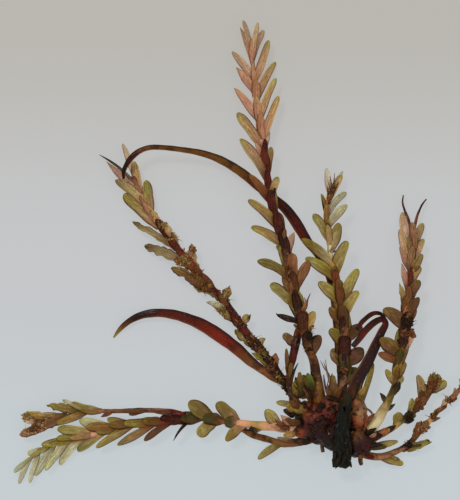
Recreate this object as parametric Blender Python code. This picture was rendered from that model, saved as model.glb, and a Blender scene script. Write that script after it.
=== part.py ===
"""A small river plant with three-ranked leaves, uprooted and laid on its side on a sheet.

Places on the plant are millimetres on that sheet: across from its left edge, down from its top
edge, and up from its surface. The part's own frame is in metres, with +X across the sheet, +Y
towards its top edge and +Z up.
"""

import math

import bmesh
import bpy
from mathutils import Matrix, Vector

MM = 0.001

# The point of the sheet under the middle of the plant, which is the part's origin
ORIGIN_ACROSS, ORIGIN_DOWN = 24.6, 25.25

# Fineness of the solids
STEM_BEVEL_RESOLUTION = 1
RIBBON_BEVEL_RESOLUTION = 0
BLADE_SIDES, BLADE_RINGS = 4, 3
THREAD_SIDES, THREAD_RINGS = 4, 6
CROWN_SIDES, CROWN_RINGS = 8, 5
STEPS_BETWEEN_FEET = 4
WELD_DISTANCE = 0.001
SHARP_EDGE = math.radians(50)

# Leaves, in millimetres, apart from their arch as a share of their length
BLADE_THICKNESS = 0.24
BROADEST_EDGE_ON = 0.55
SCALE_LIFT = 0.12
BLADE_ARCH = 0.08
FOOT_FULLNESS, TIP_FULLNESS = 1.0, 1.3

# Where in its stem a scale's foot sits, as a share of the stem's width above the middle
SCALE_FOOT = 0.2

# Other sizes, in millimetres
THREAD_WIDTH = 0.28
RIBBON_THICKNESS = 0.36
PIECE_GAP = 0.08
BLOCK_SIDE = 40.0

# The bark of the old root: ridges around it, their height, and how far they wind along it
STUMP_RIDGES = 7
STUMP_RIDGE_HEIGHT = 0.06
STUMP_TWIST = 0.9

# Tones of the living and the dying leaves: name and linear colour
TONES = {
    "g": ("leaf_green", (0.36, 0.37, 0.08)),
    "o": ("leaf_olive", (0.36, 0.27, 0.08)),
    "p": ("leaf_pink", (0.46, 0.24, 0.15)),
    "r": ("leaf_rust", (0.38, 0.13, 0.05)),
    "b": ("leaf_brown", (0.24, 0.13, 0.05)),
    "m": ("leaf_maroon", (0.16, 0.035, 0.02)),
    "d": ("leaf_dark", (0.06, 0.055, 0.02)),
    "w": ("leaf_pale", (0.52, 0.46, 0.30)),
}
LEAF_ROUGHNESS = 0.55

# The other finishes: linear colour and roughness
FINISHES = {
    "stem_red_brown": ((0.26, 0.09, 0.035), 0.5),
    "crown_maroon": ((0.17, 0.035, 0.02), 0.5),
    "old_root_black": ((0.03, 0.035, 0.028), 0.75),
    "ribbon_brown": ((0.14, 0.04, 0.015), 0.35),
    "ribbon_red": ((0.16, 0.025, 0.012), 0.35),
    "ribbon_dark": ((0.07, 0.02, 0.015), 0.35),
    "ribbon_olive": ((0.3, 0.22, 0.06), 0.4),
}
RIBBON_FINISHES = {
    "arched_ribbon": "ribbon_brown",
    "strap_ribbon": "ribbon_red",
    "hooked_ribbon": "ribbon_dark",
    "pale_ribbon": "ribbon_olive",
}

# Each shoot has a route of (across, down, up, width), leaves of (foot across, foot down, tip
# across, tip down, width, rise, tone) that stand out to its sides, and scales of the same
# without the rise, which lie against the side that faces up.
SHOOTS = {
    "tall_shoot": {
        "route": [
            (31.8, 41.0, 2.2, 2.1), (31.7, 39.6, 2.3, 1.6), (31.6, 38.0, 2.4, 1.15), (31.4, 36.2, 2.5, 0.9),
            (30.8, 34.6, 2.6, 0.9), (30.3, 32.6, 2.6, 0.95), (29.5, 29.8, 2.7, 0.85),
            (28.9, 27.0, 2.8, 0.9), (28.4, 24.6, 2.8, 0.95), (27.6, 22.0, 2.6, 0.95),
            (27.0, 19.6, 2.4, 0.8), (26.6, 17.0, 2.1, 0.7), (26.2, 14.4, 1.7, 0.75),
            (25.9, 11.8, 1.4, 0.75), (25.5, 9.2, 1.1, 0.65), (25.3, 6.6, 0.9, 0.45), (24.9, 4.0, 0.8, 0.3),
        ],
        "leaves": [
            (25.1, 5.8, 24.0, 2.6, 0.55, -0.9, "p"), (25.0, 4.6, 24.3, 2.0, 0.5, 0.2, "p"),
            (25.2, 7.0, 23.2, 5.1, 0.7, -0.1, "p"), (25.4, 8.8, 23.6, 6.7, 0.8, 0.2, "p"),
            (25.7, 11.3, 23.4, 8.7, 0.8, -1.3, "p"), (26.0, 13.9, 23.7, 11.3, 0.95, 0.1, "o"),
            (26.5, 16.8, 24.0, 13.9, 0.9, -0.2, "o"), (26.5, 16.6, 25.5, 14.3, 0.6, 0.4, "p"),
            (26.9, 19.4, 24.9, 17.5, 0.8, 0.1, "o"), (27.5, 22.1, 24.8, 20.0, 0.9, 0.1, "o"),
            (28.1, 24.3, 25.1, 22.7, 0.85, -0.3, "o"), (28.6, 25.7, 27.6, 24.6, 0.5, -0.5, "g"),
            (29.0, 26.9, 25.7, 26.1, 0.9, 0.1, "o"), (29.5, 29.8, 27.0, 28.4, 0.95, -0.3, "o"),
            (29.9, 31.6, 28.9, 29.9, 0.6, -0.4, "o"), (30.1, 32.1, 27.6, 31.4, 0.4, 0.2, "d"),
            (25.3, 5.2, 25.8, 2.2, 0.55, 0.2, "o"), (25.3, 5.6, 26.4, 2.9, 0.6, -0.9, "o"),
            (25.4, 7.1, 26.9, 4.0, 0.75, 0.2, "o"), (25.7, 9.3, 27.6, 6.1, 0.7, -1.2, "o"),
            (25.9, 11.2, 27.6, 7.8, 0.7, 0.3, "o"), (26.2, 13.0, 27.9, 9.6, 0.7, -0.1, "o"),
            (26.3, 14.9, 26.9, 13.1, 0.5, -0.4, "o"), (26.7, 17.3, 27.1, 14.7, 0.65, -0.3, "o"),
            (27.1, 19.8, 27.8, 17.7, 0.75, 0.2, "o"), (28.7, 25.4, 29.4, 23.2, 0.8, 0.3, "r"),
            (29.3, 28.2, 30.9, 26.1, 0.95, 0.3, "r"), (29.4, 29.6, 29.9, 27.9, 0.5, -0.4, "o"),
            (30.4, 32.9, 31.4, 31.1, 0.85, 0.3, "r"), (30.9, 35.0, 32.0, 33.5, 0.95, -0.1, "b"),
        ],
        "scales": [
            (25.2, 5.8, 25.2, 3.8, 0.5, "r"), (25.4, 8.4, 25.2, 6.3, 0.6, "r"),
            (25.8, 11.0, 25.5, 8.8, 0.7, "r"), (26.1, 14.0, 25.9, 11.6, 0.75, "b"),
            (26.7, 17.0, 26.2, 14.6, 0.7, "m"), (27.2, 20.0, 26.7, 17.6, 0.75, "m"),
            (27.9, 23.3, 27.4, 20.9, 0.95, "m"), (28.5, 25.5, 28.1, 23.5, 1.0, "m"),
            (29.0, 27.5, 29.1, 25.3, 1.35, "r"), (29.8, 30.6, 29.3, 28.2, 1.0, "m"),
            (30.4, 33.0, 30.2, 31.0, 1.3, "m"),
        ],
    },
    "short_shoot": {
        "route": [
            (30.4, 41.3, 2.3, 0.7), (29.3, 39.6, 2.9, 0.68), (28.9, 37.6, 2.6, 0.65),
            (29.2, 36.0, 2.2, 0.7), (29.5, 34.6, 1.8, 0.85), (29.8, 33.3, 1.5, 0.8), (30.0, 32.4, 1.4, 0.4),
        ],
        "leaves": [
            (29.2, 37.2, 28.6, 34.8, 0.45, 0.1, "g"), (29.6, 34.3, 28.3, 33.4, 0.95, 0.0, "g"),
            (29.0, 38.2, 29.8, 36.2, 0.35, 0.3, "d"),
        ],
        "scales": [(29.3, 36.3, 29.3, 34.6, 0.75, "m"), (29.0, 38.0, 29.1, 36.2, 0.6, "o")],
    },
    "middle_shoot": {
        "route": [
            (34.0, 40.0, 2.2, 0.8), (34.3, 38.2, 2.3, 0.7), (34.5, 36.9, 2.4, 0.65),
            (34.3, 35.4, 2.5, 0.95), (34.4, 33.6, 2.5, 1.0), (34.2, 31.6, 2.6, 1.0), (34.0, 29.8, 2.5, 0.8),
            (33.6, 28.0, 2.5, 0.8), (33.2, 26.4, 2.5, 0.7), (33.0, 25.2, 2.4, 0.45), (32.9, 23.8, 2.2, 0.7),
            (32.7, 22.4, 2.0, 0.65), (32.6, 21.0, 1.7, 0.45), (32.8, 19.8, 1.4, 0.45),
            (33.1, 18.4, 1.1, 0.25),
        ],
        "leaves": [

            (32.7, 20.6, 32.1, 19.4, 0.35, 0.3, "d"), (33.0, 19.0, 32.7, 16.8, 0.45, -1.1, "w"),
            (32.8, 23.6, 31.3, 21.4, 0.8, 0.2, "g"), (33.0, 25.4, 30.1, 23.9, 0.8, 0.1, "g"),
            (33.4, 27.3, 30.5, 25.8, 0.9, -0.1, "g"), (33.9, 29.8, 31.8, 28.2, 0.9, -0.2, "g"),
            (34.2, 32.1, 32.9, 30.7, 0.8, -0.3, "o"), (34.4, 34.3, 32.9, 32.9, 1.0, -0.2, "o"),
            (34.4, 36.2, 33.1, 34.9, 1.0, -0.3, "g"), (34.5, 37.6, 33.7, 37.2, 0.55, 0.3, "d"),
            (33.2, 19.4, 34.1, 17.7, 0.5, 0.1, "b"), (33.1, 18.9, 34.3, 17.1, 0.3, 0.4, "w"),
            (32.9, 20.9, 34.7, 19.2, 0.6, -1.5, "g"), (32.8, 22.1, 34.7, 20.5, 0.7, 0.2, "g"),
            (33.0, 24.5, 33.9, 22.3, 0.95, -0.3, "g"), (33.4, 26.8, 34.7, 24.1, 0.95, 0.2, "g"),
            (34.0, 29.2, 35.8, 26.9, 0.9, -0.1, "g"), (34.2, 31.2, 35.8, 29.1, 0.9, 0.2, "g"),
            (34.5, 33.8, 36.2, 32.6, 1.0, -0.5, "b"), (34.4, 35.7, 36.4, 35.0, 1.2, -0.7, "o"),
            (34.4, 38.0, 35.9, 36.9, 1.05, -0.5, "g"),
        ],
        "scales": [
            (32.9, 25.0, 32.7, 22.3, 0.8, "b"), (33.6, 28.0, 33.4, 25.9, 1.0, "o"),
            (34.0, 30.2, 33.7, 27.8, 1.0, "b"), (34.3, 32.8, 34.0, 30.4, 1.2, "d"),
            (34.4, 35.4, 34.4, 33.5, 1.35, "m"), (34.4, 36.9, 34.2, 35.2, 1.2, "d"),
        ],
    },
    "right_shoot": {
        "route": [
            (36.2, 43.9, 2.0, 1.2), (37.5, 42.2, 2.3, 1.15), (38.3, 40.9, 2.4, 0.95),
            (38.9, 39.8, 2.5, 0.75), (39.4, 38.4, 2.5, 0.55), (39.6, 37.0, 2.6, 0.6),
            (40.0, 35.2, 2.6, 0.75), (40.3, 33.8, 2.7, 0.95), (40.5, 32.2, 2.7, 1.15),
            (40.7, 30.6, 2.5, 0.9), (40.8, 29.0, 2.2, 0.7), (41.0, 27.4, 1.9, 0.6), (41.2, 25.8, 1.5, 0.55),
            (41.3, 24.2, 1.2, 0.4), (41.2, 22.8, 1.0, 0.3),
        ],
        "leaves": [
            (41.2, 24.6, 40.4, 21.3, 0.7, -1.1, "w"), (41.1, 25.9, 40.0, 22.9, 0.6, -0.4, "p"),
            (41.1, 26.6, 39.9, 24.7, 0.5, 0.2, "p"), (40.8, 28.6, 40.1, 26.3, 0.5, 0.2, "p"),
            (40.7, 30.4, 39.8, 28.3, 0.7, 0.1, "b"), (40.5, 32.1, 38.2, 30.9, 1.0, 0.4, "o"),
            (40.0, 35.2, 37.9, 33.8, 1.05, 0.4, "o"), (39.9, 35.5, 37.7, 35.3, 0.7, 0.45, "r"),
            (39.5, 38.0, 38.5, 36.9, 0.5, 0.1, "g"), (38.8, 40.2, 37.9, 39.2, 0.4, 0.3, "d"),
            (41.3, 24.9, 42.3, 22.4, 0.6, -1.2, "o"), (41.2, 26.2, 42.3, 24.2, 0.65, -0.4, "o"),
            (41.1, 26.9, 42.2, 25.4, 0.6, 0.2, "o"), (40.9, 28.2, 42.0, 26.6, 0.7, -0.2, "o"),
            (40.8, 29.8, 41.9, 28.0, 0.75, 0.2, "o"), (40.7, 31.2, 41.8, 29.7, 0.8, -0.1, "o"),
            (40.5, 32.8, 41.5, 30.7, 0.6, -0.3, "b"), (40.2, 34.6, 41.3, 32.8, 0.8, -0.2, "r"),
            (39.9, 36.0, 40.6, 34.3, 0.65, 0.1, "g"), (39.6, 37.2, 40.4, 36.1, 0.85, 0.2, "g"),
            (39.4, 38.5, 40.2, 37.5, 0.65, -0.1, "g"), (39.2, 39.0, 40.0, 38.2, 0.6, 0.1, "d"),
            (38.3, 41.0, 39.5, 40.3, 0.4, 0.1, "d"),
        ],
        "scales": [
            (41.2, 25.6, 41.1, 22.8, 0.6, "r"), (40.9, 28.5, 41.1, 26.2, 0.6, "b"),
            (40.8, 30.6, 40.8, 28.6, 0.7, "d"), (40.4, 33.4, 40.6, 31.0, 1.2, "d"),
            (39.9, 36.4, 40.2, 34.2, 0.9, "o"),
        ],
        "threads": [
            [(41.2, 23.4, 1.0), (40.9, 22.0, 0.9), (40.5, 21.0, 0.8), (40.3, 20.2, 0.7), (40.4, 19.5, 0.5)],
            [(41.3, 23.6, 1.0), (41.7, 21.8, 1.0), (42.0, 21.0, 0.9), (42.3, 20.4, 0.8), (42.7, 19.9, 0.6)],
        ],
    },
    "short_right_shoot": {
        "route": [
            (36.4, 44.4, 1.4, 0.85), (38.3, 43.3, 1.5, 0.8), (39.3, 42.8, 1.5, 0.6), (40.0, 42.2, 1.5, 0.6),
            (40.8, 41.6, 1.4, 0.75), (41.5, 40.9, 1.4, 0.7), (42.2, 40.2, 1.3, 0.85),
            (42.8, 39.5, 1.2, 0.6), (43.3, 38.8, 1.0, 0.6), (43.7, 38.2, 0.9, 0.35),
        ],
        "leaves": [
            (39.9, 42.4, 39.9, 41.2, 0.95, 0.2, "g"), (40.5, 41.9, 41.4, 42.1, 0.6, -0.2, "d"),
            (41.2, 41.2, 41.2, 39.8, 0.5, 0.2, "g"), (41.6, 40.8, 41.6, 40.0, 0.3, 0.1, "o"),
            (42.5, 39.9, 41.8, 37.5, 0.8, -0.3, "g"), (43.2, 39.1, 43.3, 37.3, 0.85, 0.2, "b"),
            (43.5, 38.9, 44.0, 37.5, 0.75, -0.9, "b"), (43.4, 38.9, 44.7, 38.2, 0.85, 0.1, "g"),
        ],
        "scales": [
            (40.6, 41.8, 41.2, 41.3, 0.8, "d"), (42.0, 40.5, 42.5, 39.7, 0.9, "m"),
        ],
    },
    "long_right_shoot": {
        "route": [
            (35.6, 45.2, 1.1, 0.7), (36.8, 45.6, 1.1, 0.75), (38.2, 45.7, 1.0, 0.75),
            (39.6, 45.2, 0.9, 0.6), (40.7, 44.6, 0.9, 0.6), (41.5, 43.8, 1.0, 0.55), (42.2, 42.9, 1.0, 0.7),
            (43.1, 42.0, 1.0, 0.5), (43.7, 41.3, 0.9, 0.5), (44.6, 40.4, 0.9, 0.4), (45.5, 39.5, 0.8, 0.5),
            (46.4, 38.6, 0.8, 0.4), (47.3, 37.7, 0.7, 0.25),
        ],
        "leaves": [
            (38.7, 45.6, 40.4, 46.5, 0.75, -1.0, "g"), (40.7, 44.6, 42.9, 44.2, 0.9, 0.1, "o"),
            (41.8, 43.6, 42.0, 42.3, 0.8, 0.3, "m"), (43.1, 42.1, 44.1, 41.8, 0.4, -0.2, "b"),

            (46.3, 38.7, 46.0, 37.9, 0.4, 0.2, "b"), (46.6, 38.4, 47.5, 38.3, 0.45, -0.8, "o"),
            (47.0, 38.0, 47.9, 36.9, 0.5, 0.0, "b"),
        ],
        "scales": [
            (42.0, 43.2, 42.7, 42.3, 1.1, "m"), (43.5, 41.5, 44.1, 40.8, 0.5, "b"),
            (45.1, 39.9, 45.8, 39.2, 0.55, "m"),
        ],
    },
    "left_shoot": {
        "route": [
            (30.4, 42.6, 1.8, 1.2), (28.6, 42.7, 1.8, 1.15), (27.2, 42.6, 1.7, 1.0),
            (25.6, 42.5, 1.6, 0.85), (24.0, 42.3, 1.5, 0.7), (22.2, 42.1, 1.5, 0.65),
            (20.6, 41.8, 1.5, 0.65), (18.8, 41.9, 1.5, 0.8), (17.0, 42.1, 1.5, 0.8),
            (15.0, 42.3, 1.5, 0.75), (13.0, 42.5, 1.4, 0.7), (11.0, 42.9, 1.2, 0.65), (9.3, 43.4, 1.1, 0.6),
            (7.5, 44.0, 0.9, 0.55), (5.6, 44.3, 0.8, 0.5), (4.4, 44.8, 0.7, 0.4), (3.3, 45.6, 0.6, 0.35),
            (2.4, 46.4, 0.5, 0.2),
        ],
        "leaves": [
            (20.6, 41.8, 18.9, 40.1, 1.2, 0.3, "g"), (22.9, 42.1, 21.7, 40.2, 1.15, 0.2, "g"),
            (27.7, 42.6, 26.6, 40.9, 0.95, 0.3, "g"), (3.8, 45.2, 2.7, 45.4, 0.6, 0.2, "g"),
            (6.4, 44.2, 4.1, 44.5, 0.65, 0.3, "g"), (8.1, 43.8, 5.6, 43.9, 0.7, 0.3, "g"),
            (8.8, 43.5, 5.7, 42.9, 0.85, -0.2, "g"), (10.6, 43.0, 7.9, 42.0, 0.9, 0.0, "g"),
            (12.8, 42.6, 10.7, 41.9, 0.8, -0.2, "g"), (21.2, 41.9, 19.9, 43.7, 1.05, -0.3, "g"),
            (24.0, 42.4, 22.6, 44.1, 0.8, 0.2, "o"), (25.9, 42.5, 24.8, 43.0, 0.75, 0.3, "d"),
            (18.6, 42.0, 17.4, 44.0, 0.2, 0.1, "d"), (16.6, 42.2, 14.4, 44.1, 0.6, -0.2, "d"),
            (14.4, 42.4, 11.7, 44.6, 0.7, -1.4, "o"), (12.4, 42.6, 9.6, 44.8, 0.7, -0.2, "g"),
            (10.0, 43.2, 7.7, 45.2, 0.85, -1.1, "g"), (7.7, 44.0, 5.9, 46.6, 0.7, -0.8, "g"),
            (6.0, 44.3, 4.5, 47.1, 0.65, 0.1, "g"), (4.6, 44.7, 3.4, 47.7, 0.75, -0.7, "w"),
            (3.4, 45.6, 2.9, 48.4, 0.5, 0.1, "w"), (2.7, 46.2, 1.8, 48.5, 0.45, -0.5, "w"),
            (2.6, 46.3, 1.3, 47.3, 0.4, 0.1, "w"),
        ],
        "scales": [
            (10.9, 42.9, 8.6, 42.7, 1.0, "o"), (12.9, 42.5, 10.9, 42.5, 0.9, "b"),
            (15.2, 42.3, 12.9, 42.2, 0.95, "p"), (17.7, 42.0, 15.6, 41.8, 1.1, "m"),
            (20.0, 41.8, 18.1, 41.7, 1.2, "d"), (21.7, 42.0, 20.4, 41.6, 1.3, "d"),
            (23.6, 42.2, 22.6, 42.3, 1.2, "d"), (8.0, 43.8, 6.0, 44.1, 0.7, "g"),
        ],
    },
    "left_brown_shoot": {
        "route": [
            (18.6, 41.4, 2.5, 0.4), (17.2, 41.1, 2.4, 0.5), (15.6, 41.0, 2.2, 0.5), (13.8, 41.0, 2.0, 0.5),
            (12.0, 41.1, 1.8, 0.45), (10.2, 41.1, 1.6, 0.4), (8.8, 41.2, 1.4, 0.4), (7.4, 41.5, 1.2, 0.4),
            (6.0, 41.8, 1.0, 0.45), (4.6, 42.2, 0.9, 0.5), (3.4, 42.8, 0.7, 0.4), (2.6, 43.3, 0.6, 0.25),
        ],
        "leaves": [
            (9.4, 41.2, 7.1, 40.3, 0.85, 0.1, "g"), (8.4, 41.2, 6.3, 40.0, 0.4, 0.4, "w"),
            (7.6, 41.4, 4.8, 40.5, 0.95, -0.5, "g"), (5.6, 41.9, 2.2, 41.4, 1.0, -0.3, "o"),
            (8.1, 41.4, 5.7, 42.4, 0.65, 0.3, "o"), (5.4, 42.0, 2.3, 43.4, 1.2, -0.1, "b"),
            (11.3, 41.1, 10.1, 41.7, 0.45, -0.1, "r"), (14.4, 41.0, 12.9, 41.4, 0.45, 0.1, "b"),
        ],
        "scales": [(14.4, 41.0, 12.6, 41.0, 0.5, "m"), (16.8, 41.1, 15.3, 41.0, 0.5, "m")],
    },
    "left_runner": {
        "route": [
            (31.6, 43.8, 0.9, 0.9), (30.0, 44.2, 0.8, 0.85), (28.4, 44.4, 0.7, 0.75),
            (26.8, 44.0, 0.6, 0.65), (25.4, 43.6, 0.6, 0.65), (24.3, 43.0, 0.6, 0.6),
            (23.6, 42.6, 0.6, 0.4),
        ],
        "leaves": [(27.4, 44.2, 25.8, 46.0, 0.75, -0.3, "g"), (29.4, 44.3, 27.7, 43.8, 0.5, 0.3, "g")],
        "scales": [],
    },
    "left_tall_shoot": {
        "route": [
            (29.9, 40.8, 1.5, 0.8), (28.8, 38.8, 1.6, 0.8), (28.0, 37.6, 1.7, 0.85), (27.0, 36.3, 1.7, 1.0),
            (25.8, 34.9, 1.6, 0.85), (24.7, 33.4, 1.6, 0.85), (23.7, 32.0, 1.5, 0.85),
            (22.5, 30.3, 1.5, 0.85), (21.4, 29.0, 1.4, 0.6), (20.2, 27.8, 1.4, 0.75),
            (19.2, 26.6, 1.4, 1.0), (18.2, 25.4, 1.3, 0.7), (17.2, 24.2, 1.2, 0.75),
            (16.1, 22.8, 1.1, 0.65), (15.1, 21.4, 1.0, 0.55), (14.4, 20.0, 0.9, 0.5),
            (13.8, 18.8, 0.8, 0.4), (13.1, 17.6, 0.7, 0.3),
        ],
        "leaves": [
            (13.3, 17.8, 9.8, 15.4, 0.35, -0.6, "d"), (13.6, 18.4, 10.6, 16.1, 0.7, -0.3, "p"),
            (14.3, 19.9, 11.5, 18.0, 0.9, 0.1, "o"), (15.2, 21.6, 12.3, 19.4, 1.2, -1.0, "g"),
            (17.1, 24.1, 13.3, 22.2, 0.5, 0.1, "p"), (18.6, 26.0, 14.5, 24.6, 0.85, -1.3, "w"),
            (20.6, 28.3, 17.2, 26.7, 1.2, 0.2, "b"), (22.0, 29.8, 19.4, 28.6, 0.95, -0.4, "o"),
            (23.5, 31.8, 21.3, 30.4, 1.3, 0.1, "o"), (22.8, 30.9, 20.9, 30.2, 0.6, 0.4, "w"),
            (25.5, 34.6, 23.6, 32.9, 1.1, -0.3, "o"), (27.1, 36.5, 25.3, 35.3, 0.9, 0.2, "b"),
            (13.6, 18.4, 12.2, 14.3, 0.65, -0.7, "w"), (13.9, 18.9, 13.4, 16.1, 0.85, 0.1, "o"),
            (14.7, 20.6, 14.6, 18.0, 1.05, -0.3, "g"), (15.8, 22.4, 15.3, 21.2, 0.8, 0.2, "o"),
            (17.4, 24.5, 16.3, 22.2, 0.8, 0.2, "o"), (19.4, 26.8, 19.1, 24.4, 1.0, 0.2, "b"),
            (22.2, 29.9, 23.0, 28.8, 0.8, 0.2, "b"), (24.0, 32.4, 24.8, 31.6, 0.8, 0.1, "b"),
            (25.6, 34.7, 26.4, 33.9, 0.8, 0.2, "b"), (27.2, 36.6, 27.6, 35.4, 0.95, 0.2, "b"),
        ],
        "scales": [
            (14.4, 20.2, 13.4, 18.2, 0.6, "m"), (16.0, 22.7, 14.7, 20.9, 0.7, "p"),
            (18.0, 25.2, 16.6, 23.4, 0.75, "m"), (19.8, 27.3, 18.6, 25.6, 1.1, "b"),
            (22.3, 30.1, 21.0, 28.6, 0.8, "m"), (24.2, 32.7, 22.9, 30.9, 0.95, "m"),
            (26.1, 35.4, 24.8, 33.5, 0.95, "d"), (28.1, 37.9, 26.8, 36.1, 1.0, "d"),
        ],
    },
}

# Roots like flat ribbons: one route, or several that are grown together
RIBBONS = {
    "arched_ribbon": [
        [
            (34.1, 40.4, 0.9, 0.7), (34.1, 38.0, 0.9, 0.7), (33.9, 35.0, 0.9, 0.7), (33.6, 31.5, 0.9, 0.75),
            (33.3, 29.0, 0.9, 0.75), (32.7, 26.9, 1.0, 0.8), (31.8, 25.4, 1.0, 0.8),
            (30.8, 24.2, 1.1, 0.95), (30.0, 22.9, 1.1, 1.1), (29.3, 21.8, 1.1, 1.05),
            (28.4, 20.7, 1.1, 0.95), (27.3, 19.8, 1.1, 0.9), (26.0, 18.8, 1.2, 0.85),
            (24.5, 17.5, 1.4, 0.9), (23.0, 16.5, 1.7, 0.85), (21.6, 15.8, 2.0, 0.75),
            (20.0, 15.3, 2.3, 0.62), (18.2, 15.0, 2.5, 0.56), (16.4, 14.8, 2.7, 0.52),
            (15.0, 14.8, 2.8, 0.52), (13.9, 15.2, 2.8, 0.55), (13.1, 15.9, 2.8, 0.58),
            (12.7, 16.5, 2.7, 0.5), (12.4, 17.2, 2.5, 0.4), (12.4, 17.9, 2.3, 0.25),
        ],
    ],
    "strap_ribbon": [
        [
            (30.4, 41.2, 0.9, 0.5), (29.2, 39.3, 0.7, 0.5), (28.5, 38.5, 0.6, 0.5), (27.4, 37.9, 0.5, 0.65),
            (26.2, 37.0, 0.5, 0.85), (25.0, 36.1, 0.5, 1.05), (23.8, 35.0, 0.5, 1.2),
            (22.5, 34.0, 0.6, 1.3), (21.2, 33.1, 0.7, 1.25), (20.0, 32.4, 0.8, 1.2),
            (18.8, 31.9, 0.9, 1.05), (17.5, 31.5, 0.9, 0.95), (16.0, 31.3, 0.9, 0.88),
            (14.7, 31.4, 0.8, 0.8), (13.7, 31.7, 0.7, 0.7), (12.8, 32.2, 0.6, 0.6), (12.0, 32.9, 0.3, 0.45),
            (11.3, 33.8, 0.04, 0.15),
        ],
    ],
    "hooked_ribbon": [
        [
            (34.9, 40.6, 2.4, 0.9), (35.2, 39.0, 2.5, 1.1), (35.9, 37.5, 2.5, 1.15), (36.8, 36.0, 2.5, 1.1),
            (37.6, 34.3, 2.4, 0.95), (38.1, 33.2, 2.3, 0.8), (38.5, 32.4, 2.3, 0.65),
            (38.2, 31.9, 2.3, 0.6), (37.4, 32.2, 2.6, 0.68), (36.5, 33.0, 2.9, 0.68),
            (35.8, 33.9, 3.1, 0.62), (35.2, 34.6, 3.2, 0.5),
        ],
        [
            (38.5, 32.3, 2.3, 0.35), (38.3, 31.6, 2.3, 0.38), (37.8, 31.3, 2.3, 0.42),
            (37.1, 31.4, 2.5, 0.48), (36.2, 32.1, 2.9, 0.5), (35.6, 32.9, 3.1, 0.4),
        ],
    ],
    "pale_ribbon": [
        [
            (35.9, 41.0, 1.9, 0.5), (35.9, 39.6, 1.9, 0.5), (36.0, 38.4, 1.9, 0.55), (36.5, 37.2, 1.9, 0.6),
            (37.2, 35.9, 1.9, 0.5), (37.7, 35.0, 1.9, 0.3),
        ],
    ],
}

# The crown: lobes of (across, down, up, half width, half length, half height)
CROWN_LOBES = [
    (31.5, 42.2, 1.5, 2.0, 2.1, 2.2), (33.2, 43.4, 1.6, 1.6, 1.6, 1.9), (33.0, 41.0, 1.9, 2.1, 1.5, 1.7),
    (35.6, 41.5, 1.9, 1.1, 1.9, 1.7), (35.8, 43.9, 1.6, 1.6, 1.8, 1.8), (30.2, 42.9, 1.6, 1.1, 0.9, 1.2),
    (30.6, 41.1, 2.0, 1.0, 1.0, 1.2),
]

# Rootlets under the crown, each a route of (across, down, up, width)
CROWN_ROOTLETS = [
    [(32.2, 43.6, 1.6, 0.4), (32.2, 44.6, 1.5, 0.4), (32.3, 45.2, 1.4, 0.35)],
    [(36.0, 45.0, 2.3, 0.45), (36.0, 46.0, 2.2, 0.45), (36.1, 46.4, 2.0, 0.4)],
]

# Leaves on the crown of (foot across, down, up, tip across, down, up, width, tone)
CROWN_LEAVES = [
    (30.2, 40.8, 2.1, 27.6, 40.2, 2.1, 0.7, "g"), (30.7, 41.9, 3.0, 29.2, 40.3, 4.1, 1.1, "o"),
    (30.6, 41.0, 3.1, 30.9, 37.6, 3.7, 1.0, "g"), (30.5, 40.9, 3.0, 30.1, 37.2, 3.4, 1.0, "o"),
    (33.2, 40.4, 3.1, 33.2, 37.5, 3.3, 1.05, "o"), (36.0, 42.6, 2.8, 37.4, 41.2, 3.3, 0.55, "r"),
    (36.4, 43.6, 2.6, 38.1, 42.8, 3.2, 0.4, "d"), (36.6, 44.6, 1.9, 39.8, 44.1, 2.1, 0.55, "g"),
    (36.4, 44.6, 2.2, 38.6, 44.6, 2.6, 0.7, "d"), (30.2, 42.2, 2.7, 27.6, 42.1, 2.9, 0.9, "r"),
    (30.4, 41.6, 2.9, 28.6, 41.2, 3.3, 0.5, "d"),
]

# The black stump of an old root, which lies over the crown
STUMP_ROUTE = [
    (34.7, 39.3, 3.7, 0.8), (34.5, 40.3, 3.9, 1.15), (34.2, 41.8, 4.0, 1.25), (34.1, 43.3, 3.7, 1.5),
    (34.2, 44.6, 3.1, 1.8), (34.2, 45.6, 2.7, 1.95), (34.0, 46.2, 2.5, 1.75), (33.9, 46.6, 2.4, 1.3),
]


def place(across, down, up):
    """A place on the sheet, in millimetres from the part's origin."""
    return Vector((across - ORIGIN_ACROSS, ORIGIN_DOWN - down, up))


def smoothed(points, steps):
    """Points on a Catmull-Rom curve through these, with this many steps from each to the next."""
    rows = [Vector(p) for p in points]
    rows = [2 * rows[0] - rows[1], *rows, 2 * rows[-1] - rows[-2]]
    found = []
    for a, b, c, d in zip(rows, rows[1:], rows[2:], rows[3:]):
        turn = 2 * a - 5 * b + 4 * c - d
        twist = 3 * b - a - 3 * c + d
        for step in range(steps):
            t = step / steps
            found.append(0.5 * (2 * b + (c - a) * t + turn * t**2 + twist * t**3))
    return [*found, rows[-2]]


def tone_material(tone):
    name, colour = TONES[tone]
    return bpy.data.materials.get(name) or new_material(name, colour, LEAF_ROUGHNESS)


def new_material(name, colour, roughness):
    made = bpy.data.materials.new(name)
    made.use_nodes = True
    shader = made.node_tree.nodes["Principled BSDF"]
    shader.inputs["Base Color"].default_value = (*colour, 1)
    shader.inputs["Roughness"].default_value = roughness
    shader.inputs["Metallic"].default_value = 0
    return made


def collection(name):
    made = bpy.data.collections.new(name)
    bpy.context.scene.collection.children.link(made)
    return made


def evaluated_mesh(source):
    bpy.context.view_layer.update()
    return bpy.data.meshes.new_from_object(source.evaluated_get(bpy.context.evaluated_depsgraph_get()))


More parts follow.
